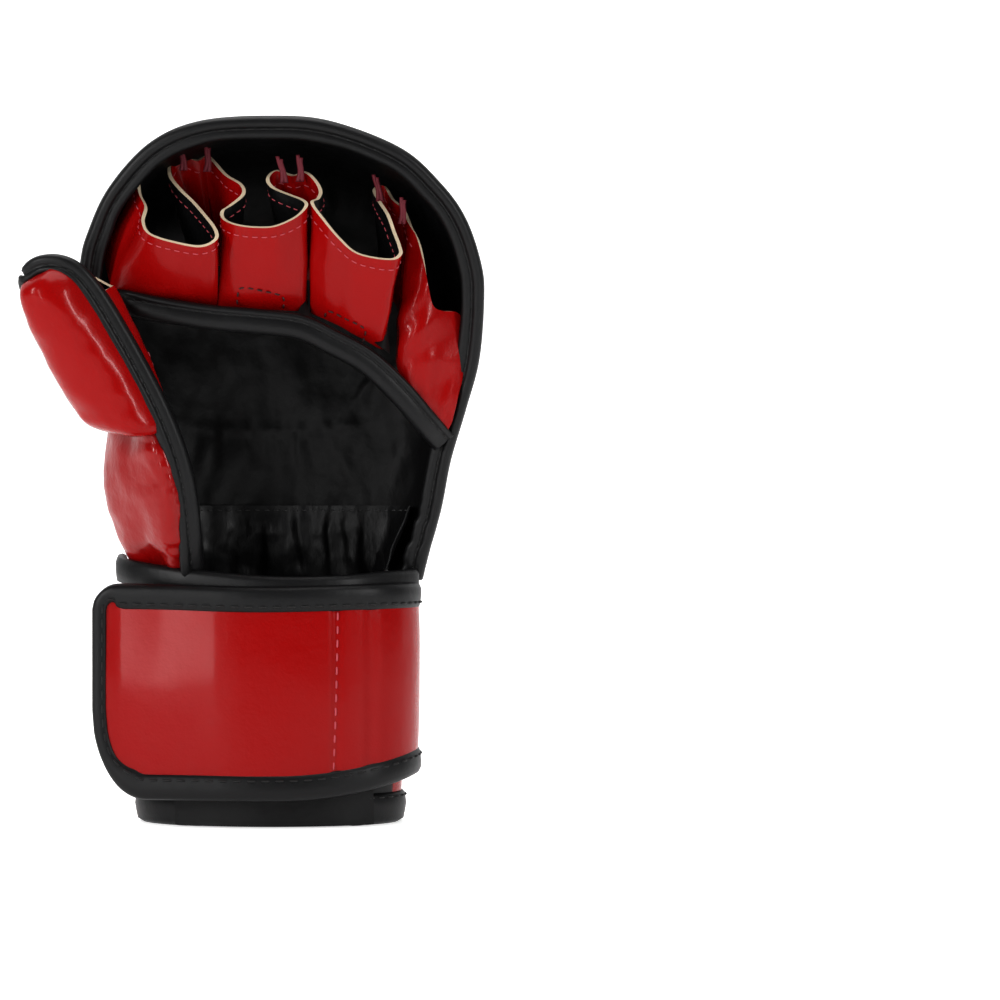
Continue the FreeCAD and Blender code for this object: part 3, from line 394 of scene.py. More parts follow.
def make_shell():
    """Red cover over the back, black lining inside, and the bound rim between them."""
    cover = dome(2.2, np.array([10.0, 48.0, 168.0]), 0.66, 54, 1.5)
    out = -normals(cover)
    if np.mean(out[:, 10, 1]) < 0:
        out = -out
    fold = (cover - FOLD_POINT) @ FOLD_UP
    back = step(cover[..., 1], 2, 16)
    height = 1.2 * rough(cover, 26, 1) * back
    height -= 3.4 * bell(fold, 3.2) * back
    height -= 2.6 * bell(fold - KNUCKLE_SEAM, 3.0) * back * step(cover[..., 2], 150, 165)
    between = step(fold, 6, 16) * step(-fold, -KNUCKLE_SEAM, 6 - KNUCKLE_SEAM)
    for x in CHANNELS:
        height -= 1.9 * bell(cover[..., 0] - x - 0.1 * fold, 3.0) * between * back
    cover = cover + out * height[..., None]
    inner = cover - out * 1.4
    obj = slab("shell_cover", cover, inner, [LEATHER, LINING, RAW_EDGE], wrap=True)
    ready(obj, bend=ACROSS_FOLD,
          stands_for=["knuckle_cover", "knuckle_outer_pad", "back_cover", "back_foam_pad"])

    for label, lift in (("fold_seam", 0), ("knuckle_seam", KNUCKLE_SEAM)):
        path, up = seam_line(cover, out, fold - lift)
        obj = stitches(f"{label}_stitches", path, up, MAROON_THREAD, 2.6, 1.6, 0.4)
        ready(obj, bend=ACROSS_FOLD)

    lining = dome(6.6, np.array([10.0, 28.0, 162.0]), 0.95, 54, 0.0, 0.66)
    into = normals(lining)
    if np.mean(into[:, 20, 1]) > 0:
        into = -into
    soft = step(np.linspace(0, 1, lining.shape[1]), 0.02, 0.2)[None, :]
    seam = lining[..., 2] - 139 - 0.0022 * (lining[..., 0] - 8) ** 2
    width = bell(lining[..., 0] - 8, 44)
    height = soft * (1.5 * rough(lining, (16, 30, 22), 3) + 0.6 * rough(lining, (5, 12, 9), 4))
    gathers = rough(lining, (3.4, 60, 16), 5)
    height += soft * (gathers * 1.1 * bell(seam + 5, 9) * width + 0.8 * bell(seam, 1.5) * width)
    curve = np.interp(lining[..., 2], [139, 144, 150, 156, 164], [30, 35, 38, 42, 54])
    palm_heights = step(lining[..., 2], 137, 142) * step(-lining[..., 2], -168, -160)
    height += soft * bell(lining[..., 0] - curve, 2.2) * palm_heights
    lining = lining + into * height[..., None]
    obj = slab("shell_lining", lining, lining - into * 1.0, [LINING] * 3, wrap=True)
    ready(obj, bend=ACROSS_FOLD,
          stands_for=["knuckle_lining", "knuckle_inner_pad", "back_lining"])

    path, inward = rim_line(0, 330, first=3)
    forward = np.broadcast_to(-RIM_BACK, path.shape)
    profile = [
        (0.6, -3.4), (-0.4, -1.4), (-0.5, 0.2), (-0.1, 1.5), (0.7, 2.5), (1.7, 2.9), (2.8, 2.7), (3.5, 2.0),
        (3.9, 1.2), (4.4, 1.4), (5.1, 1.8), (6.1, 1.8), (7.0, 1.4), (7.5, 0.7), (7.6, -0.4), (7.2, -2.0),
        (5.0, -3.6), (3.0, -4.2),
    ]
    puckered = step(-path[:, 2], -118, -106) * step(path[:, 0], 40, 50)
    puff = 1 + 0.05 * rough(path, 14, 7) + 0.16 * puckered * rough(path, 3.5, 8)
    obj = sweep("rim_binding", path, inward * puff[:, None], forward, profile, BINDING)
    ready(obj, bend=ACROSS_FOLD, stands_for=["shield_rim_binding", "lower_rim_binding"])
    row = path + inward * 3.9 + forward * 1.35
    obj = stitches("rim_stitches", row, forward, BLACK_THREAD, 3.0, 2.0, 0.42)
    ready(obj, bend=ACROSS_FOLD)


def seam_line(grid, out, level):
    """The line over the back of a grid where its level crosses zero, with its outward directions."""
    points, ups = [], []
    for row in range(grid.shape[0]):
        for column in range(grid.shape[1] - 1):
            a, b = level[row, column], level[row, column + 1]
            if a * b < 0 and grid[row, column, 1] > 4:
                share = a / (a - b)
                points.append(grid[row, column] * (1 - share) + grid[row, column + 1] * share)
                ups.append(out[row, column])
    order = np.argsort([p[0] for p in points])
    points, ups = np.array(points)[order], np.array(ups)[order]
    keep = [0]
    for i in range(1, len(points)):
        if points[i, 0] - points[keep[-1], 0] > 1.2:
            keep.append(i)
    return points[keep], ups[keep]


# ---------------------------------------------------------------- finger strip

# Where the strip's front top edge is, as seen from the front; behind it the edge climbs as it goes back.
EDGE_X = [-40, -20, -12, -6, 14, 20, 25.7, 31.1, 36.4, 43.5, 51, 56]
EDGE_Z = [206.5, 204.2, 207, 211, 211, 214, 211, 206, 202, 199.9, 199.5, 199]

# The strip from the thumb side to the little finger: its top edge as seen (x, z, and its depth where the
# rule above doesn't give it), then its bottom edge as seen (x, z) and the bottom's depth.
STRIP = [
    (-40.5, 227.5, None, -53, 206, -8), (-39.9, 222.6, None, -53, 201, -12),
    (-37.9, 218, None, -52, 195, -15), (-38.9, 213, None, -49.5, 188.6, -18.5),
    (-36.4, 208.4, None, -43, 186, -20), (-27.5, 205.5, None, -33, 184.6, -22),
    (-18.6, 204.1, None, -23, 183.6, -21.5), (-12.9, 206.6, None, -12.9, 183, -20),
    # fold between index and middle finger
    (-13.6, 210.9, None, -13.2, 184, -14), (-20.4, 219, None, -16.5, 187, -7),
    (-25.7, 224.4, None, -18, 190, -2), (-29.3, 229.7, None, -19, 193, 4),
    (-28.6, 235, None, -19, 196, 8), (-25.2, 237, None, -16.5, 197, 10),
    (-19.7, 234.6, None, -13.5, 197, 10), (-15.8, 236.1, None, -11.5, 197, 10),
    (-9.8, 229.6, None, -9, 194, 5), (-4.2, 226.1, None, -8, 191, 0),
    (-3.2, 222.6, None, -8, 188, -4), (-7.3, 219, None, -9, 186, -9),
    (-10.6, 216.6, None, -11.6, 184, -14),
    # middle finger
    (-10.2, 213.8, None, -12.2, 182.5, -20), (-6.2, 211.9, None, -7, 182, -21.5),
    (0.9, 210.9, None, 1, 181.6, -22.5), (8, 211.2, None, 9, 181.2, -22.5),
    (15.1, 214.4, None, 16.5, 181, -21), (18.9, 218, None, 19.5, 181.6, -18),
    # fold between middle and ring finger
    (18.4, 220.2, None, 19.8, 184, -13), (13.3, 222.4, None, 18, 186, -9),
    (7.2, 225.1, None, 16.5, 188, -5), (5.5, 228.4, None, 16, 190, -1),
    (8.6, 231, None, 18, 192, 1), (14.2, 229.2, None, 20.5, 192, 1),
    (18.6, 230.4, None, 23, 191, 0), (22.4, 227.4, None, 24, 188, -4),
    (24.2, 223.7, None, 24, 185, -8), (23.3, 221, None, 21.4, 182.5, -13),
    # ring finger
    (21.2, 219.4, None, 20.2, 180.5, -19), (25.7, 213, None, 25.5, 178.4, -21),
    (31.1, 206.6, None, 31, 175.6, -22), (36.4, 202, None, 35.5, 173, -22),
    (43.5, 199.9, None, 40, 170.6, -21), (50.0, 199.5, None, 44.5, 168, -19.5),
    (52.6, 201.4, None, 46.5, 167.6, -17),
    # fold between ring and little finger
    (52.2, 204.1, None, 47, 169, -13), (50.4, 208.8, None, 47, 172, -8),
    (48.1, 215.5, -24, 47, 176, -4), (44.6, 220.8, -16, 48, 180, 0),
    (43.4, 224.4, -9, 49, 184, 2), (46.6, 225.6, -6, 50.5, 184, 2),
    (49.9, 220.8, -8, 51.5, 180, -1), (53.3, 217.6, -12, 52, 174, -6),
    # little finger, and the side panel under it
    (55.9, 211.9, -17, 50.5, 165, -14), (58.8, 206.6, -19, 51, 161, -18),
    (60.9, 198.8, -21, 53.5, 156, -19), (62.3, 190.6, -21, 56, 152, -19),
    (63.9, 183.2, -20, 58, 150, -18), (67.2, 181.2, -18, 60, 147.6, -17.5),
    (72.4, 180.6, -14, 61.5, 145.6, -17), (75.0, 176, -12, 63.5, 143.4, -16),
    (75.2, 166, -12, 65.6, 141, -15), (74.2, 156, -12, 67.0, 139.2, -13),
    (71.0, 147, -12, 68.4, 137.6, -11.5),
]
# How far back the strip goes for each millimetre that it climbs in the front view, from its front to its back.
STRIP_RISE = 1 / math.tan(math.radians(43))
STRIP_FRONT, STRIP_BACK = -38, -8


def strip_curves(count):
    """The strip's top and bottom edges, point for point."""
    top, bottom = [], []
    for x, z, y, low_x, low_z, low_y in STRIP:
        if y is None:
            y = min(STRIP_FRONT + (z - np.interp(x, EDGE_X, EDGE_Z)) * STRIP_RISE, STRIP_BACK)
        top.append(seen(x, z, y))
        bottom.append(seen(low_x, low_z, low_y))
    both = spline([np.concatenate([a, b]) for a, b in zip(top, bottom)], count)
    return both[:, :3], both[:, 3:]


def make_finger_strip():
    """One leather strip, folded back between the fingers and round each of them, with its lining."""
    count, columns = 520, 16
    top, bottom = strip_curves(count)
    share = np.linspace(0, 1, columns)[None, :, None]
    grid = top[:, None] * (1 - share) + bottom[:, None] * share
    out = normals(grid)
    if np.mean(out[60:90, 4, 1]) > 0:
        out = -out
    facing = step(-out[..., 1], 0.25, 0.8)
    swell = np.sin(math.pi * share[..., 0]) ** 0.8
    height = 1.6 * swell * facing + 0.9 * rough(grid, (8, 9, 16), 11) * (0.3 + 0.7 * share[..., 0])
    side = step(grid[..., 0], 50, 56) * step(-grid[..., 2], -196, -176)
    slant = grid @ unit(np.array([0.62, 0, -0.78]))
    height += side * 0.35 * np.sin(slant / 2.4 + 2.2 * rough(grid, 22, 12)) * swell
    ridge = step(grid[..., 0], 46, 50) * step(-grid[..., 2], -196, -184) * step(grid[..., 2], 158, 166)
    for x, z, lift, width in ((55.4, 181.2, 1.5, 1.8), (59.3, 173.8, 1.2, 1.7)):
        beside = (grid[..., 0] - x) * -0.76 + (grid[..., 2] - z) * 0.65
        height += lift * bell(beside, width) * ridge * swell
    grid = grid + out * height[..., None]
    grid = grid + out * (0.6 * np.exp(-share * 9))
    inside = grid - out * 1.3
    obj = slab("finger_strip", grid, inside, [LEATHER, LINING, RAW_EDGE])
    covers = [f"{finger}_loop_{layer}" for finger in ("index", "middle", "ring", "little")
              for layer in ("cover", "lining")]
    ready(obj, body="knuckle_shield", stands_for=covers + ["side_panel"])
    last = int(count * 0.86)
    row = grid[:last, 2] * 0.6 + grid[:last, 1] * 0.4
    obj = stitches("strip_stitches", row + out[:last, 2] * 0.15, out[:last, 2], PINK_THREAD, 2.0, 1.3, 0.22)
    ready(obj, body="knuckle_shield")
    row = inside[:last, 2] * 0.6 + inside[:last, 1] * 0.4
    into = -out[:last, 2]
    obj = stitches("strip_lining_stitches", row + into * 0.15, into, PINK_THREAD, 2.0, 1.3, 0.22)
    ready(obj, body="knuckle_shield")
    return grid, out


# Thread tails, two strands each: where one starts as seen from the front (x, z), its depth and its lean.
THREAD_TAILS = [
    (-24.7, 231, -12, -0.05), (-16.4, 230.5, -12, 0.1), (11.0, 226.5, -20, -0.12),
    (16.6, 227, -20, 0.06), (45.0, 220, -15, -0.1), (52.6, 212, -19, 0.14),
]


def make_thread_tails():
    """Ends of the maroon thread that stand up from the folds between the fingers."""
    turn = np.linspace(0, 2 * math.pi, 8, endpoint=False)
    profile = [(0.75 * math.cos(a), 0.75 * math.sin(a)) for a in turn]
    for number, (x, z, y, lean) in enumerate(THREAD_TAILS):
        for strand, sway in enumerate((-0.5, 0.6)):
            points = []
            for rise in (0, 3.5, 7, 9.5 - strand):
                wave = 0.5 * math.sin(rise / 2 + strand)
                points.append(seen(x + sway + lean * rise + wave, z + rise, y - 1.6 - 0.06 * rise))
            path = spline(points, 14)
            side = np.broadcast_to(np.array([1.0, 0, 0]), path.shape)
            front = np.broadcast_to(np.array([0, -1.0, 0]), path.shape)
            obj = sweep(f"thread_tail_{number}_{strand}", path, side, front, profile, MAROON_THREAD)
            ready(obj, body="knuckle_shield",
                  stands_for=["bar_tacks"] if number + strand == 0 else ())


# Gussets: the top corner and the two lower ones, as seen from the front (x, z) with their depths.
GUSSETS = [
    ((18.6, 185.6, -20.5), (15.4, 179.4, -23.4), (21.8, 177.6, -23.0)),
    ((48.0, 175.4, -17.5), (43.4, 169.8, -21.6), (48.8, 166.0, -20.8)),
]


def make_gussets():
    """Small black three-cornered pieces at the strip's foot, between the fingers."""
    across = np.linspace(0, 1, 10)[:, None]
    for number, corners in enumerate(GUSSETS):
        apex, left, right = (seen(x, z, y) for x, z, y in corners)
        rows = []
        for share in np.linspace(0.05, 1, 14):
            first = apex * (1 - share) + left * share
            second = apex * (1 - share) + right * share
            row = first * (1 - across) + second * across
            row[:, 1] -= 1.2 * np.sin(math.pi * across[:, 0]) * share
            rows.append(row)
        grid = np.array(rows)
        obj = slab(f"gusset_{number}", grid, grid + np.array([0, 1.2, 0]), [LINING] * 3)
        ready(obj, body="knuckle_shield",
              stands_for=["finger_gussets"] if number == 0 else ())


def on_strip(strip, out, x, z):
    """The strip's outer face where the front view shows it at (x, z), and its outward direction."""
    near = (VIEW_DISTANCE + strip[..., 1]) / VIEW_DISTANCE
    miss = (strip[..., 0] / near - x) ** 2 + ((strip[..., 2] - VIEW_HEIGHT) / near + VIEW_HEIGHT - z) ** 2
    miss = miss + 1000 * (out[..., 1] > -0.2) + 0.02 * (strip[..., 1] + 60)
    place = np.unravel_index(np.argmin(miss), miss.shape)
    return seen(x, z, strip[place][1]), out[place]


def make_tabs(strip, out):
    """Stitched outlines at the feet of the middle and ring fingers."""
    for label, corners in (
        ("middle", [(-5.4, 182.8), (-5.2, 186.6), (-3.8, 189.4), (3, 188.4), (10.6, 186.2), (10.9, 181.6)]),
        ("ring", [(25.4, 178.6), (27.2, 181), (33, 178.4), (39.6, 175), (39.6, 171.4), (38.4, 169.4)]),
    ):
        line = spline([(x, z, 0) for x, z in corners], 40)
        found = [on_strip(strip, out, x, z) for x, z, _ in line]
        path = np.array([place for place, _ in found])
        for _ in range(4):
            path[1:-1, 1] = (path[:-2, 1] + path[1:-1, 1] + path[2:, 1]) / 3
        ways = unit(np.array([way for _, way in found]) + np.array([0, -0.5, 0]))
        obj = stitches(f"{label}_tab_stitches", path + ways * 0.35, ways, DARK_THREAD, 1.9, 1.1, 0.3)
        ready(obj, body="knuckle_shield")


# Bound edge across the palm, as seen from the front: x, z, depth.
PALM_RIM = [
    (-49.0, 185.2, -14), (-44.5, 184.3, -22.5), (-32, 181.7, -25.5), (-14.2, 179.1, -26), (0, 177.9, -26.5),
    (16.3, 175.9, -26.5), (27.5, 170.9, -25.5), (40.8, 163.5, -23.5), (52.4, 152.8, -21), (61.2, 142.6, -17),
    (68.3, 134.6, -8),
]


def make_palm_rim():
    """The double bound edge across the open palm."""
    path = spline([seen(x, z, y) for x, z, y in PALM_RIM], 220)
    forward = np.broadcast_to(-RIM_BACK, path.shape)
    up = unit(np.cross(tangents(path), forward))
    if np.mean(up[:, 2]) < 0:
        up = -up
    profile = [
        (3.4, -1.6), (4.1, -0.2), (3.9, 1.2), (3.1, 2.0), (2.1, 1.7), (1.5, 0.8), (0.9, 1.2), (-0.8, 2.1),
        (-2.8, 2.1), (-4.3, 1.3), (-4.8, 0.0), (-4.2, -1.2), (0, -1.8),
    ]
    obj = sweep("palm_rim_binding", path, up, forward, profile, BINDING)
    ready(obj, body="knuckle_shield", stands_for=["palm_rim"])
    row = path + up * 1.5 + forward * 1.0
    obj = stitches("palm_rim_stitches", row, forward, BLACK_THREAD, 2.8, 1.9, 0.4)
    ready(obj, body="knuckle_shield")
    drop = np.linspace(0, 1, 6)[None, :, None]
    web = path[:, None] + up[:, None] * (2.5 - 5 * drop) - forward[:, None] * (1.2 + 12 * drop)
    obj = slab("palm_rim_lining", web, web - up[:, None] * 0.9, [LINING] * 3)
    ready(obj, body="knuckle_shield")


# ---------------------------------------------------------------- thumb guard and heel of the hand

# The thumb guard's bound edge as seen from the front (x, z) with its depth: from the cuff up the palm side and
# round the thumb's tip, then down the far side.
THUMB_EDGE = [
    (-21.0, 82, -21), (-21.4, 90, -25), (-22.2, 100, -30), (-23.7, 114.3, -34), (-26.6, 128, -37),
    (-32.2, 143, -39.5), (-40, 158.8, -41.5), (-48.8, 174.6, -43.5), (-56.2, 186.6, -45.5),
    (-62.6, 194.2, -47), (-69, 197.4, -47), (-76, 196.8, -45), (-79.6, 192.6, -41),
]
THUMB_BACK = [
    (-79.6, 192.6, -41), (-77.5, 185, -34), (-72.5, 173, -27), (-66.5, 161.5, -22), (-60, 151.5, -19),
    (-53, 144, -16),
]


def make_thumb():
    """Padded thumb guard with its bound edge and stitches. It returns the lines that its loop is made from."""
    rows, columns = 70, 40
    share = np.linspace(0, 1, rows)
    near = spline([seen(x, z, y) for x, z, y in THUMB_EDGE[5:]], 200)
    far = spline([seen(x, z, y) for x, z, y in THUMB_BACK[::-1]], 200)
    near = np.vstack([seen(-31.4, 138.5, -38.5)[None], near])
    near = even(near, 200)
    right, left = even(near[:172], rows), even(far, rows)
    right[-1] = (right[-1] + left[-1]) / 2
    middle, half = (right + left) / 2, (right - left) / 2
    round_foot = np.sqrt(np.clip(1 - (1 - np.clip(share / 0.16, 0, 1)) ** 2, 0, 1))
    round_tip = np.sqrt(np.clip(1 - (1 - np.clip((1 - share) / 0.22, 0, 1)) ** 2, 0, 1))
    depth = 17.0 * (0.25 + 0.75 * round_foot) * (0.45 + 0.55 * round_tip)
    angle = np.linspace(0, math.pi, columns)
    along = np.sign(np.cos(angle)) * np.abs(np.cos(angle)) ** 0.82
    bulge = np.sin(angle) ** 0.82
    grid = (middle[:, None] + half[:, None] * along[None, :, None]
            + THUMB_OUT * (depth[:, None] * bulge[None])[..., None])
    crease = rough(grid, (14, 14, 9), 21) * 1.1 + rough(grid, 5, 22) * 0.35
    out = normals(grid)
    if np.sum(out[35, 20] * THUMB_OUT) < 0:
        out = -out
    edge = np.sin(angle)[None] ** 0.5
    grid = grid + out * (crease * edge * (0.4 + 0.6 * (1 - share[:, None])))[..., None]
    inner = (middle[:, None] + half[:, None] * (0.94 * along[None, :, None])
             + THUMB_OUT * ((depth[:, None] * 0.42 * bulge[None])[..., None]))
    obj = slab("thumb_pad", grid, inner, [LEATHER, LINING, LEATHER])
    ready(obj, bend=ACROSS_THUMB,
          stands_for=["thumb_cover", "thumb_foam_pad", "thumb_lining"])

    path = spline([seen(x, z, y) for x, z, y in THUMB_EDGE + THUMB_BACK[1:]], 300)
    ahead = tangents(path)
    tape_out = np.tile(np.array([0.45, -0.86, 0.22]), (300, 1))
    far_side = step(np.arange(300) / 300, 0.62, 0.8)[:, None]
    tape_out = unit(tape_out * (1 - far_side) + far_side * np.array([-0.55, 0.6, 0.55]))
    side = unit(np.cross(ahead, tape_out))
    tape_out = unit(np.cross(side, ahead))
    profile = [
        (-4.2, -1.4), (-4.6, 0.2), (-4.1, 1.5), (-3.2, 2.1), (-2.1, 2.0), (-1.3, 1.3), (-0.6, 2.0), (0.8, 3.0),
        (2.4, 2.9), (3.9, 1.9), (4.6, 0.2), (4.2, -1.6), (2, -2.6), (-2, -2.6),
    ]
    narrow = 1 - 0.25 * step(np.arange(300) / 300, 0.5, 0.7)
    obj = sweep("thumb_binding", path, side * narrow[:, None], tape_out, profile, BINDING)
    ready(obj, bend=ACROSS_THUMB, stands_for=["thumb_rim_binding", "palm_edge_binding"])
    row = path - side * 1.3 * narrow[:, None] + tape_out * 1.6
    obj = stitches("thumb_binding_stitches", row[:200], tape_out[:200], BLACK_THREAD, 2.8, 1.9, 0.4)
    ready(obj, bend=ACROSS_THUMB)
    return path, side, left, middle


def make_thumb_loop(path, side, left, middle):
    """Leather loop that closes the thumb guard on its hand side, with a raw curled top edge."""
    rows, columns = 36, 40
    beside_loop = slice(103, 165)
    edge = even(path[beside_loop], rows)
    beside = even(side[beside_loop], rows)
    if np.mean(beside[:, 0]) < 0:
        beside = -beside
    far, hollow = even(left[22:60], rows), even(middle[22:60], rows)
    grid = np.zeros((rows, columns, 3))
    for i, share in enumerate(np.linspace(0, 1, rows)):
        wide = 3.6 + 5.0 * share ** 0.8
        curl = 1.2 * share**6
        points = [
            edge[i] + [0, 1.8, 0], edge[i] + beside[i] * wide * 0.6 + [0, 0.6 - curl, 0],
            edge[i] + beside[i] * wide + [0, 3.5, 0], edge[i] + beside[i] * wide * 0.8 + [0, 9, 1.5],
            hollow[i] - THUMB_OUT * 13, far[i] - THUMB_OUT * 3,
        ]
        grid[i] = spline(points, columns)
    out = normals(grid)
    if out[18, 5, 1] > 0:
        out = -out
    grid = grid + out * (0.5 * rough(grid, 8, 31))[..., None]
    obj = slab("thumb_loop_leather", grid, grid - out * 1.4, [LEATHER, LINING, RAW_EDGE])
    ready(obj, bend=ACROSS_THUMB, stands_for=["thumb_loop"])
    row, up = grid[2:16, 9], out[2:16, 9]
    obj = stitches("thumb_loop_stitches", row + up * 0.2, up, PINK_THREAD, 2.0, 1.4, 0.24)
    ready(obj, bend=ACROSS_THUMB)


# The heel's outermost x and its front, at these heights.
HEEL_SIDE_Z = [86, 92, 98, 110, 125, 138, 146]
HEEL_SIDE_X = [-41.5, -42, -44.4, -49, -50.6, -50.6, -50]
HEEL_FRONT_Z = [86, 93, 100, 115, 130, 146]
HEEL_FRONT_Y = [-17, -23, -29, -35, -37, -34]


def make_heel():
    """Creased padded leather from the back round the thumb's root to the palm-side edge."""
    rows, columns = 60, 60
    heights = np.linspace(86, 146, rows)
    edge = spline([seen(x, z, y) for x, z, y in THUMB_EDGE[:7]], 80)
    grid = np.zeros((rows, columns, 3))
    for i, z in enumerate(heights):
        palm = np.array([np.interp(z, edge[:, 2], edge[:, k]) for k in range(3)])
        outer_x = np.interp(z, HEEL_SIDE_Z, HEEL_SIDE_X)
        front = np.interp(z, HEEL_FRONT_Z, HEEL_FRONT_Y)
        points = [palm, (palm[0] - 7, front - 3, z), (outer_x + 9, front * 0.72, z), (outer_x, -8, z),
                  (outer_x + 0.5, 6, z), (outer_x + 4, 23, z)]
        grid[i] = spline(points, columns)
    out = normals(grid)
    if out[30, 20, 1] > 0:
        out = -out
    beside = np.linalg.norm(grid - grid[:, :1], axis=2)
    creases = 1.1 * rough(grid, (14, 14, 12), 41) + 0.3 * rough(grid, (7, 7, 5), 42)
    creases += 0.8 * bell(beside - 5, 5) * rough(grid, (5, 5, 3), 43)
    fade = step(np.linspace(0, 1, columns), 0.0, 0.08)[None]
    puff = 1.5 * np.sin(math.pi * np.linspace(0, 1, rows))[:, None]
    grid = grid + out * ((creases + puff) * fade)[..., None]
    thickness = 7.0 - 5.5 * step(np.linspace(0, 1, columns), 0.75, 0.95)
    obj = slab("heel_pad", grid, grid - out * thickness[None, :, None], [CREASED, LINING, CREASED])
    ready(obj, body="hand_back",
          stands_for=["heel_cover", "heel_foam_pad", "heel_lining"])


# ---------------------------------------------------------------- cuff, wrist band and strap

def cuff_wall(heights, inset, start, end, count, narrowing=0.0):
    """A grid on the cuff's oval between two angles, inset more by the narrowing for each millimetre up."""
    return np.stack([cuff_ring(z, inset + narrowing * z, start, end, count) for z in heights], 1)


def make_cuff():
    """Cuff sleeve with black turned-in ends at its slit, the slit's lining and the bound hem."""
    for label, start, end, cover in (
        ("sleeve", -24, 204, LEATHER), ("right_end", -58, -23, BINDING), ("left_end", 203, 240, BINDING),
    ):
        heights = np.linspace(4, 86, 30)
        count = max(30, (end - start) // 2)
        outer = cuff_wall(heights, 0, start, end, count)
        inner = cuff_wall(heights, 5.5, start, end, count)
        out = unit(outer - inner)
        outer = outer + out * (0.6 * rough(outer, 18, 51))[..., None]
        obj = slab(f"cuff_{label}", outer, inner, [cover, LINING, BINDING])
        if label == "sleeve":
            ready(obj, body="hand_back",
                  stands_for=["cuff_cover", "cuff_foam_sleeve", "cuff_lining_sleeve"])
        else:
            ready(obj, body="hand_back")
    heights = np.linspace(0.4, 34, 16)
    panel = cuff_wall(heights, -1.9, 226, 318, 80, 0.03)
    back = cuff_wall(heights, -0.9, 226, 318, 80, 0.03)
    obj = slab("slit_lining", panel, back, [LINING, LINING, BINDING])
    ready(obj, body="hand_back")
    ring = cuff_ring(5, 2.8, -60, 242, 260)
    rise_left = np.array([ring[-1] + [1.5 * r, -0.1 * r, 10.0 * r] for r in np.linspace(0.1, 3, 24)])
    rise_right = np.array([ring[0] + [-1.5 * r, -0.1 * r, 10.0 * r] for r in np.linspace(3, 0.1, 24)])
    ring = spline(np.vstack([rise_right[::6], ring[8:-8:6], rise_left[::6]]), 320)
    away = level_ways(ring, 6.65, 4.0)
    up = unit(np.cross(away, tangents(ring)))
    if np.mean(up[:, 2]) < 0:
        up = -up
    profile = [
        (4.0, -1.0), (4.4, 1.5), (4.0, 5.0), (3.2, 6.0), (-3.2, 6.0), (-4.2, 4.5), (-4.4, 0), (-3.6, -3.6),
        (-1.5, -5.0), (1.5, -5.0), (3.4, -3.8),
    ]
    obj = sweep("hem", ring, away, up, profile, BINDING)
    ready(obj, body="hand_back", stands_for=["hem_binding"])
    row = ring + away * 4.3 + up * 4.6
    obj = stitches("hem_stitches", row, away, BLACK_THREAD, 2.8, 1.8, 0.4)
    ready(obj, body="hand_back")


def make_wrist_gathers():
    """Black nylon gathered over the wrist inside the cuff's top, with stitches near its upper edge."""
    heights = np.linspace(GATHERS_BOTTOM, GATHERS_TOP, 34)
    rise = (heights - GATHERS_BOTTOM) / (GATHERS_TOP - GATHERS_BOTTOM)
    rows = []
    for z, share in zip(heights, rise):
        ring = cuff_ring(min(z, CUFF_TOP), 7.5 + 2.5 * share, -12, 200, 240)
        ring[:, 2] = z
        right = step(ring[:, 0], 10, 50)
        ring[:, 0] += (ring[:, 0] - 4) * (0.16 + 0.16 * right) * share
        rows.append(ring)
    grid = np.stack(rows, 1)
    into = -level_ways(grid, 4.0, 4.0)
    middle = np.sin(math.pi * rise)[None]
    folds = 1.5 * rough(grid, (4.5, 9, 26), 61) + 1.3 * rough(grid, (9, 12, 9), 62) + 0.3 * rough(grid, 4, 63)
    grid = grid + into * (folds * (0.3 + 0.7 * middle) + 1.2 * middle)[..., None]
    obj = slab("wrist_gathers", grid, grid - into * 0.5, [NYLON] * 3)
    ready(obj, body="hand_back", stands_for=["wrist_gather"])
    row = grid[:, -3] + into[:, -3] * 0.3
    obj = stitches("wrist_gather_stitches", row, into[:, -3], GREY_THREAD, 1.8, 1.6, 0.22)
    ready(obj, body="hand_back")


# The wrist band's bound top edge as seen from the front (x, z) with its depth.
BAND_EDGE = [
    (-46.5, 91.5, 6), (-46, 90, -6), (-38, 88.2, -17), (-20, 85.6, -27), (6, 83.4, -32), (30, 83.6, -29),
    (46, 85, -19), (56.5, 86, -5), (57, 86.5, 5),
]


def make_wrist_band():
    """The inner closure panel across the palm side, with its bound top edge and its loop-pile patch."""
    heights = np.linspace(16, 86, 24)
    outer = cuff_wall(heights, -2.6, 196, 300, 110)
    inner = cuff_wall(heights, -0.4, 196, 300, 110)
    obj = slab("wrist_band", outer, inner, [LEATHER, LINING, BINDING])
    ready(obj, body="hand_back", stands_for=["wrist_band_lining", "wrist_band_cover"])
    path = spline([seen(x, z, y) for x, z, y in BAND_EDGE], 200)
    away = level_ways(path, 5.0, 10.0)
    up = np.broadcast_to(np.array([0, 0, 1.0]), path.shape)
    profile = [
        (1.4, -5), (1.8, -2), (1.8, 1.5), (1.0, 3.2), (-0.4, 3.6), (-1.8, 3.0), (-2.4, 1), (-2.4, -4),
        (-1, -6),
    ]
    obj = sweep("wrist_band_tape", path, away, up, profile, BINDING)
    ready(obj, body="hand_back", stands_for=["wrist_band_binding"])
    patch = cuff_wall(np.linspace(24, 70, 30), -4.0, 231, 266, 50)
    out = level_ways(patch, 5.0, 4.0)
    fuzz = patch + out * (0.35 * rough(patch, 1.6, 71))[..., None]
    obj = slab("loop_patch_pile", fuzz, patch - out * 1.2, [PILE] * 3)
    ready(obj, body="hand_back", stands_for=["loop_patch"])


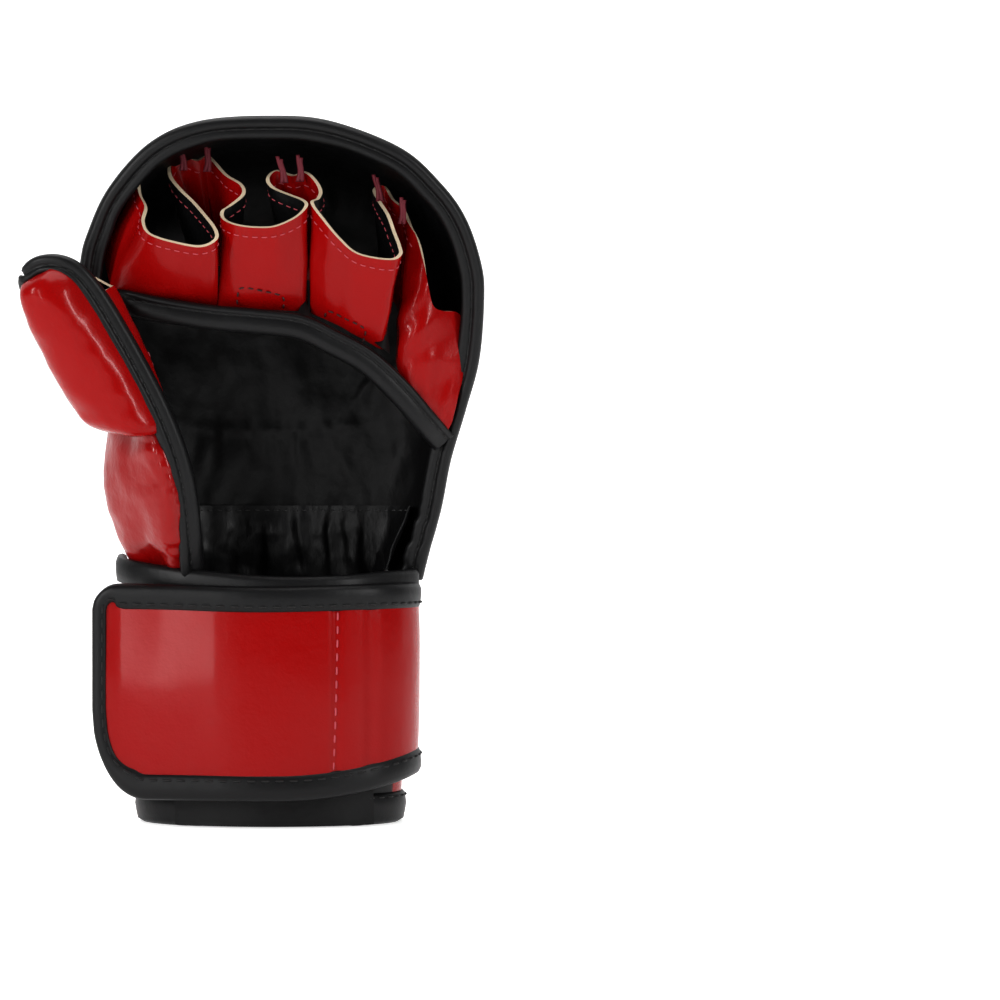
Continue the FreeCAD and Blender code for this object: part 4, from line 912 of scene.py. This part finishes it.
def strap_plan(count):
    """The strap's inner line in plan, from its sewn end at the side to its free end, and its outward side."""
    side_centre, side_radius = np.array([26.05, 1.5]), 28.77
    front_centre, front_radius = np.array([4.15, 51.1]), 83.0
    turn = unit(side_centre - front_centre)
    join = math.atan2(turn[1], turn[0])
    side_x, side_y = side_centre + [side_radius, 0]
    points = [(side_x - 2.2 * (d / 24) ** 2, side_y + d) for d in np.linspace(24, 1, 12)]
    for angle in np.linspace(0, join, 40):
        points.append(side_centre + side_radius * np.array([math.cos(angle), math.sin(angle)]))
    end_angle = -math.pi / 2 - STRAP_LEAN
    for angle in np.linspace(join, end_angle, 60)[1:]:
        points.append(front_centre + front_radius * np.array([math.cos(angle), math.sin(angle)]))
    ahead = np.array([-math.cos(STRAP_LEAN), math.sin(STRAP_LEAN)])
    last = points[-1]
    length = (last[0] - STRAP_END_X) / math.cos(STRAP_LEAN)
    for d in np.linspace(0, length, 30)[1:]:
        points.append(last + ahead * d)
    line = even(np.array(points), count)
    along = tangents(line)
    return line, np.stack([-along[:, 1], along[:, 0]], 1)


def make_strap():
    """Closure strap: padded leather face, bound all round, lined, with a hook patch inside its free end."""
    count = 260
    plan, out = strap_plan(count)
    if out[150, 1] > 0:
        out = -out
    left = distances(plan)[-1] - distances(plan)
    foot = 10.9 + 6.0 * (np.clip(plan[:, 0] - 10, 0, 48) / 40) ** 2
    top = 84.0 - 1.0 * bell(plan[:, 0] - 5, 30)

    def corner(length, height, squareness):
        """How far an edge draws in towards the free end to round off its corner."""
        near = np.clip(1 - left / length, 0, 1)
        return height * (1 - (1 - near**squareness) ** (1 / squareness))

    foot = foot + corner(19.0, 30.0, 2.0)
    top = top - corner(8.0, 8.0, 1.8)

    def face(offset, inset):
        """Points of the strap's face at an offset from its inner line, inset from its edges."""
        share = np.linspace(0, 1, 26)
        z = (foot + inset)[:, None] * (1 - share) + (top - inset)[:, None] * share
        xy = plan + out * offset
        return np.concatenate([np.repeat(xy[:, None], 26, 1), z[..., None]], 2)

    front = face(3.6, 2.0)
    way = np.concatenate([out, np.zeros((count, 1))], 1)[:, None]
    share = np.linspace(0, 1, 26)[None]
    swell = np.sin(math.pi * share) ** 0.5 * step(left, 0, 10)[:, None]
    from_seam = plan[:, 0][:, None] - STRAP_SEAM_X
    height = 1.1 * swell + 0.5 * rough(front, 30, 81)
    height = height - 0.7 * bell(from_seam, 1.6) - 0.5 * bell(from_seam - 11.5, 2.2)
    front = front + way * height[..., None]
    back = face(0.9, 2.0)
    obj = slab("strap_face", front, back, [LEATHER, LINING, BINDING])
    ready(obj, bend=ACROSS_HINGE,
          stands_for=["strap_cover", "strap_core_pad", "strap_lining", "strap_anchor"])

    edge_plan = np.vstack([plan, plan[::-1]])
    edge_out = np.vstack([out, out[::-1]])
    edge_z = np.concatenate([top, foot[::-1]])
    edge = np.column_stack([edge_plan, edge_z])
    both = even(np.hstack([edge, edge_out, np.zeros((2 * count, 1))]), 520)
    path, away = both[:, :3], unit(both[:, 3:])
    ahead = tangents(path)
    inward = unit(np.cross(ahead, away))
    if inward[40, 2] > 0:
        inward = -inward
    path = path + away * 2.4
    tape = 1 - 0.42 * step(-path[:, 0], 44, 53)
    profile = [
        (-0.9, -1.2), (-1.1, 0.6), (-0.4, 2.0), (1.2, 2.8), (3.5, 2.8), (6.2, 2.5), (7.6, 2.1), (8.0, 1.2),
        (8.0, 0), (7.8, -1.9), (5, -2.3), (1, -2.4),
    ]
    obj = sweep("strap_binding_tape", path, inward * tape[:, None], away, profile, BINDING)
    ready(obj, bend=ACROSS_HINGE, stands_for=["strap_binding"])
    row = path + inward * 6.0 * tape[:, None] + away * 2.75
    obj = stitches("strap_binding_stitches", row, away, BLACK_THREAD, 3.0, 1.9, 0.42)
    ready(obj, bend=ACROSS_HINGE)

    at = int(np.argmin(np.abs(plan[:, 0] - STRAP_SEAM_X) + 50 * (plan[:, 1] > 0)))
    column = front[at, 2:-2]
    lean = np.linspace(-0.8, 0.8, len(column))
    column = even(column + np.stack([lean, 0 * lean, 0 * lean], 1), 60)
    ways = np.broadcast_to(way[at], column.shape)
    obj = stitches("strap_seam", column + ways * 0.25, ways, PINK_THREAD, 2.8, 1.7, 0.36)
    ready(obj, body="strap", stands_for=["strap_seam_thread"])

    here = (left > 9) & (left < 62)
    hooks = face(0.5, 12.0)[here][:, 2:-2]
    normal = way[here]
    hooks = hooks - normal * (0.25 + 0.2 * rough(hooks, 1.8, 91))[..., None]
    obj = slab("strap_hooks", hooks + normal * 0.9, hooks, [HOOKS] * 3)
    ready(obj, body="strap", stands_for=["strap_hook_patch"])


# ---------------------------------------------------------------- floor, lights, camera

def light(name, place, aim, size, power):
    """A soft white rectangular light. Places and sizes are in metres."""
    lamp = bpy.data.lights.new(name, "AREA")
    lamp.shape = "RECTANGLE"
    lamp.size, lamp.size_y = size
    lamp.energy = power
    obj = bpy.data.objects.new(name, lamp)
    obj.location = place
    obj.rotation_euler = (Vector(aim) - Vector(place)).to_track_quat("-Z", "Y").to_euler()
    bpy.context.scene.collection.objects.link(obj)


def make_studio():
    """A pale floor, soft studio lights and the level camera in front of the palm."""
    paper = material("studio_paper", (0.85, 0.85, 0.85), 0.6, [])
    shader = paper.node_tree.nodes["Principled BSDF"]
    shader.inputs["Emission Color"].default_value = (1, 1, 1, 1)
    shader.inputs["Emission Strength"].default_value = 0.6
    bend = np.radians(np.linspace(0, 90, 40))
    side_view = [(-7000, 0), (-2000, 0), (0, 0), (700, 0)]
    side_view += [(1200 + 900 * math.sin(a), 900 - 900 * math.cos(a)) for a in bend]
    side_view += [(2100, 2500), (2100, 6000)]
    sheet = np.array([[(x, y, z) for x in np.linspace(-6000, 6000, 7)] for y, z in side_view], float)
    floor = piece("floor", sheet.reshape(-1, 3), grid_faces(*sheet.shape[:2], flip=True), [paper])
    world = bpy.data.worlds.new("studio")
    world.use_nodes = True
    world.node_tree.nodes["Background"].inputs["Color"].default_value = (1, 1, 1, 1)
    world.node_tree.nodes["Background"].inputs["Strength"].default_value = 0.15
    bpy.context.scene.world = world
    light("left_softbox", (-1.2, -0.9, 0.7), (0, 0, 0.13), (0.16, 0.9), 15)
    light("right_softbox", (1.2, -0.9, 0.7), (0, 0, 0.12), (0.14, 0.9), 11)
    light("front_softbox", (-0.75, -1.6, 0.5), (0, 0, 0.08), (0.14, 1.1), 7)
    light("top_softbox", (0.1, 0.1, 1.5), (0, 0, 0.1), (1.4, 0.8), 14)
    scene = bpy.context.scene
    scene.view_settings.view_transform = "Standard"
    scene.view_settings.gamma = 0.8
    camera = bpy.data.objects.new("camera", bpy.data.cameras.new("camera"))
    camera.location = (0, -VIEW_DISTANCE * MM, VIEW_HEIGHT * MM)
    camera.rotation_euler = (math.pi / 2, 0, 0)
    camera.data.sensor_width = 36.0
    camera.data.lens = 36.0 * VIEW_DISTANCE / FIELD
    camera.data.shift_x = LEFT_OF_MIDDLE / FIELD
    scene.collection.objects.link(camera)
    scene.camera = camera


make_shell()
strip, strip_out = make_finger_strip()
make_thread_tails()
make_gussets()
make_tabs(strip, strip_out)
make_palm_rim()
thumb = make_thumb()
make_thumb_loop(*thumb)
make_heel()
make_cuff()
make_wrist_gathers()
make_wrist_band()
make_strap()
make_studio()
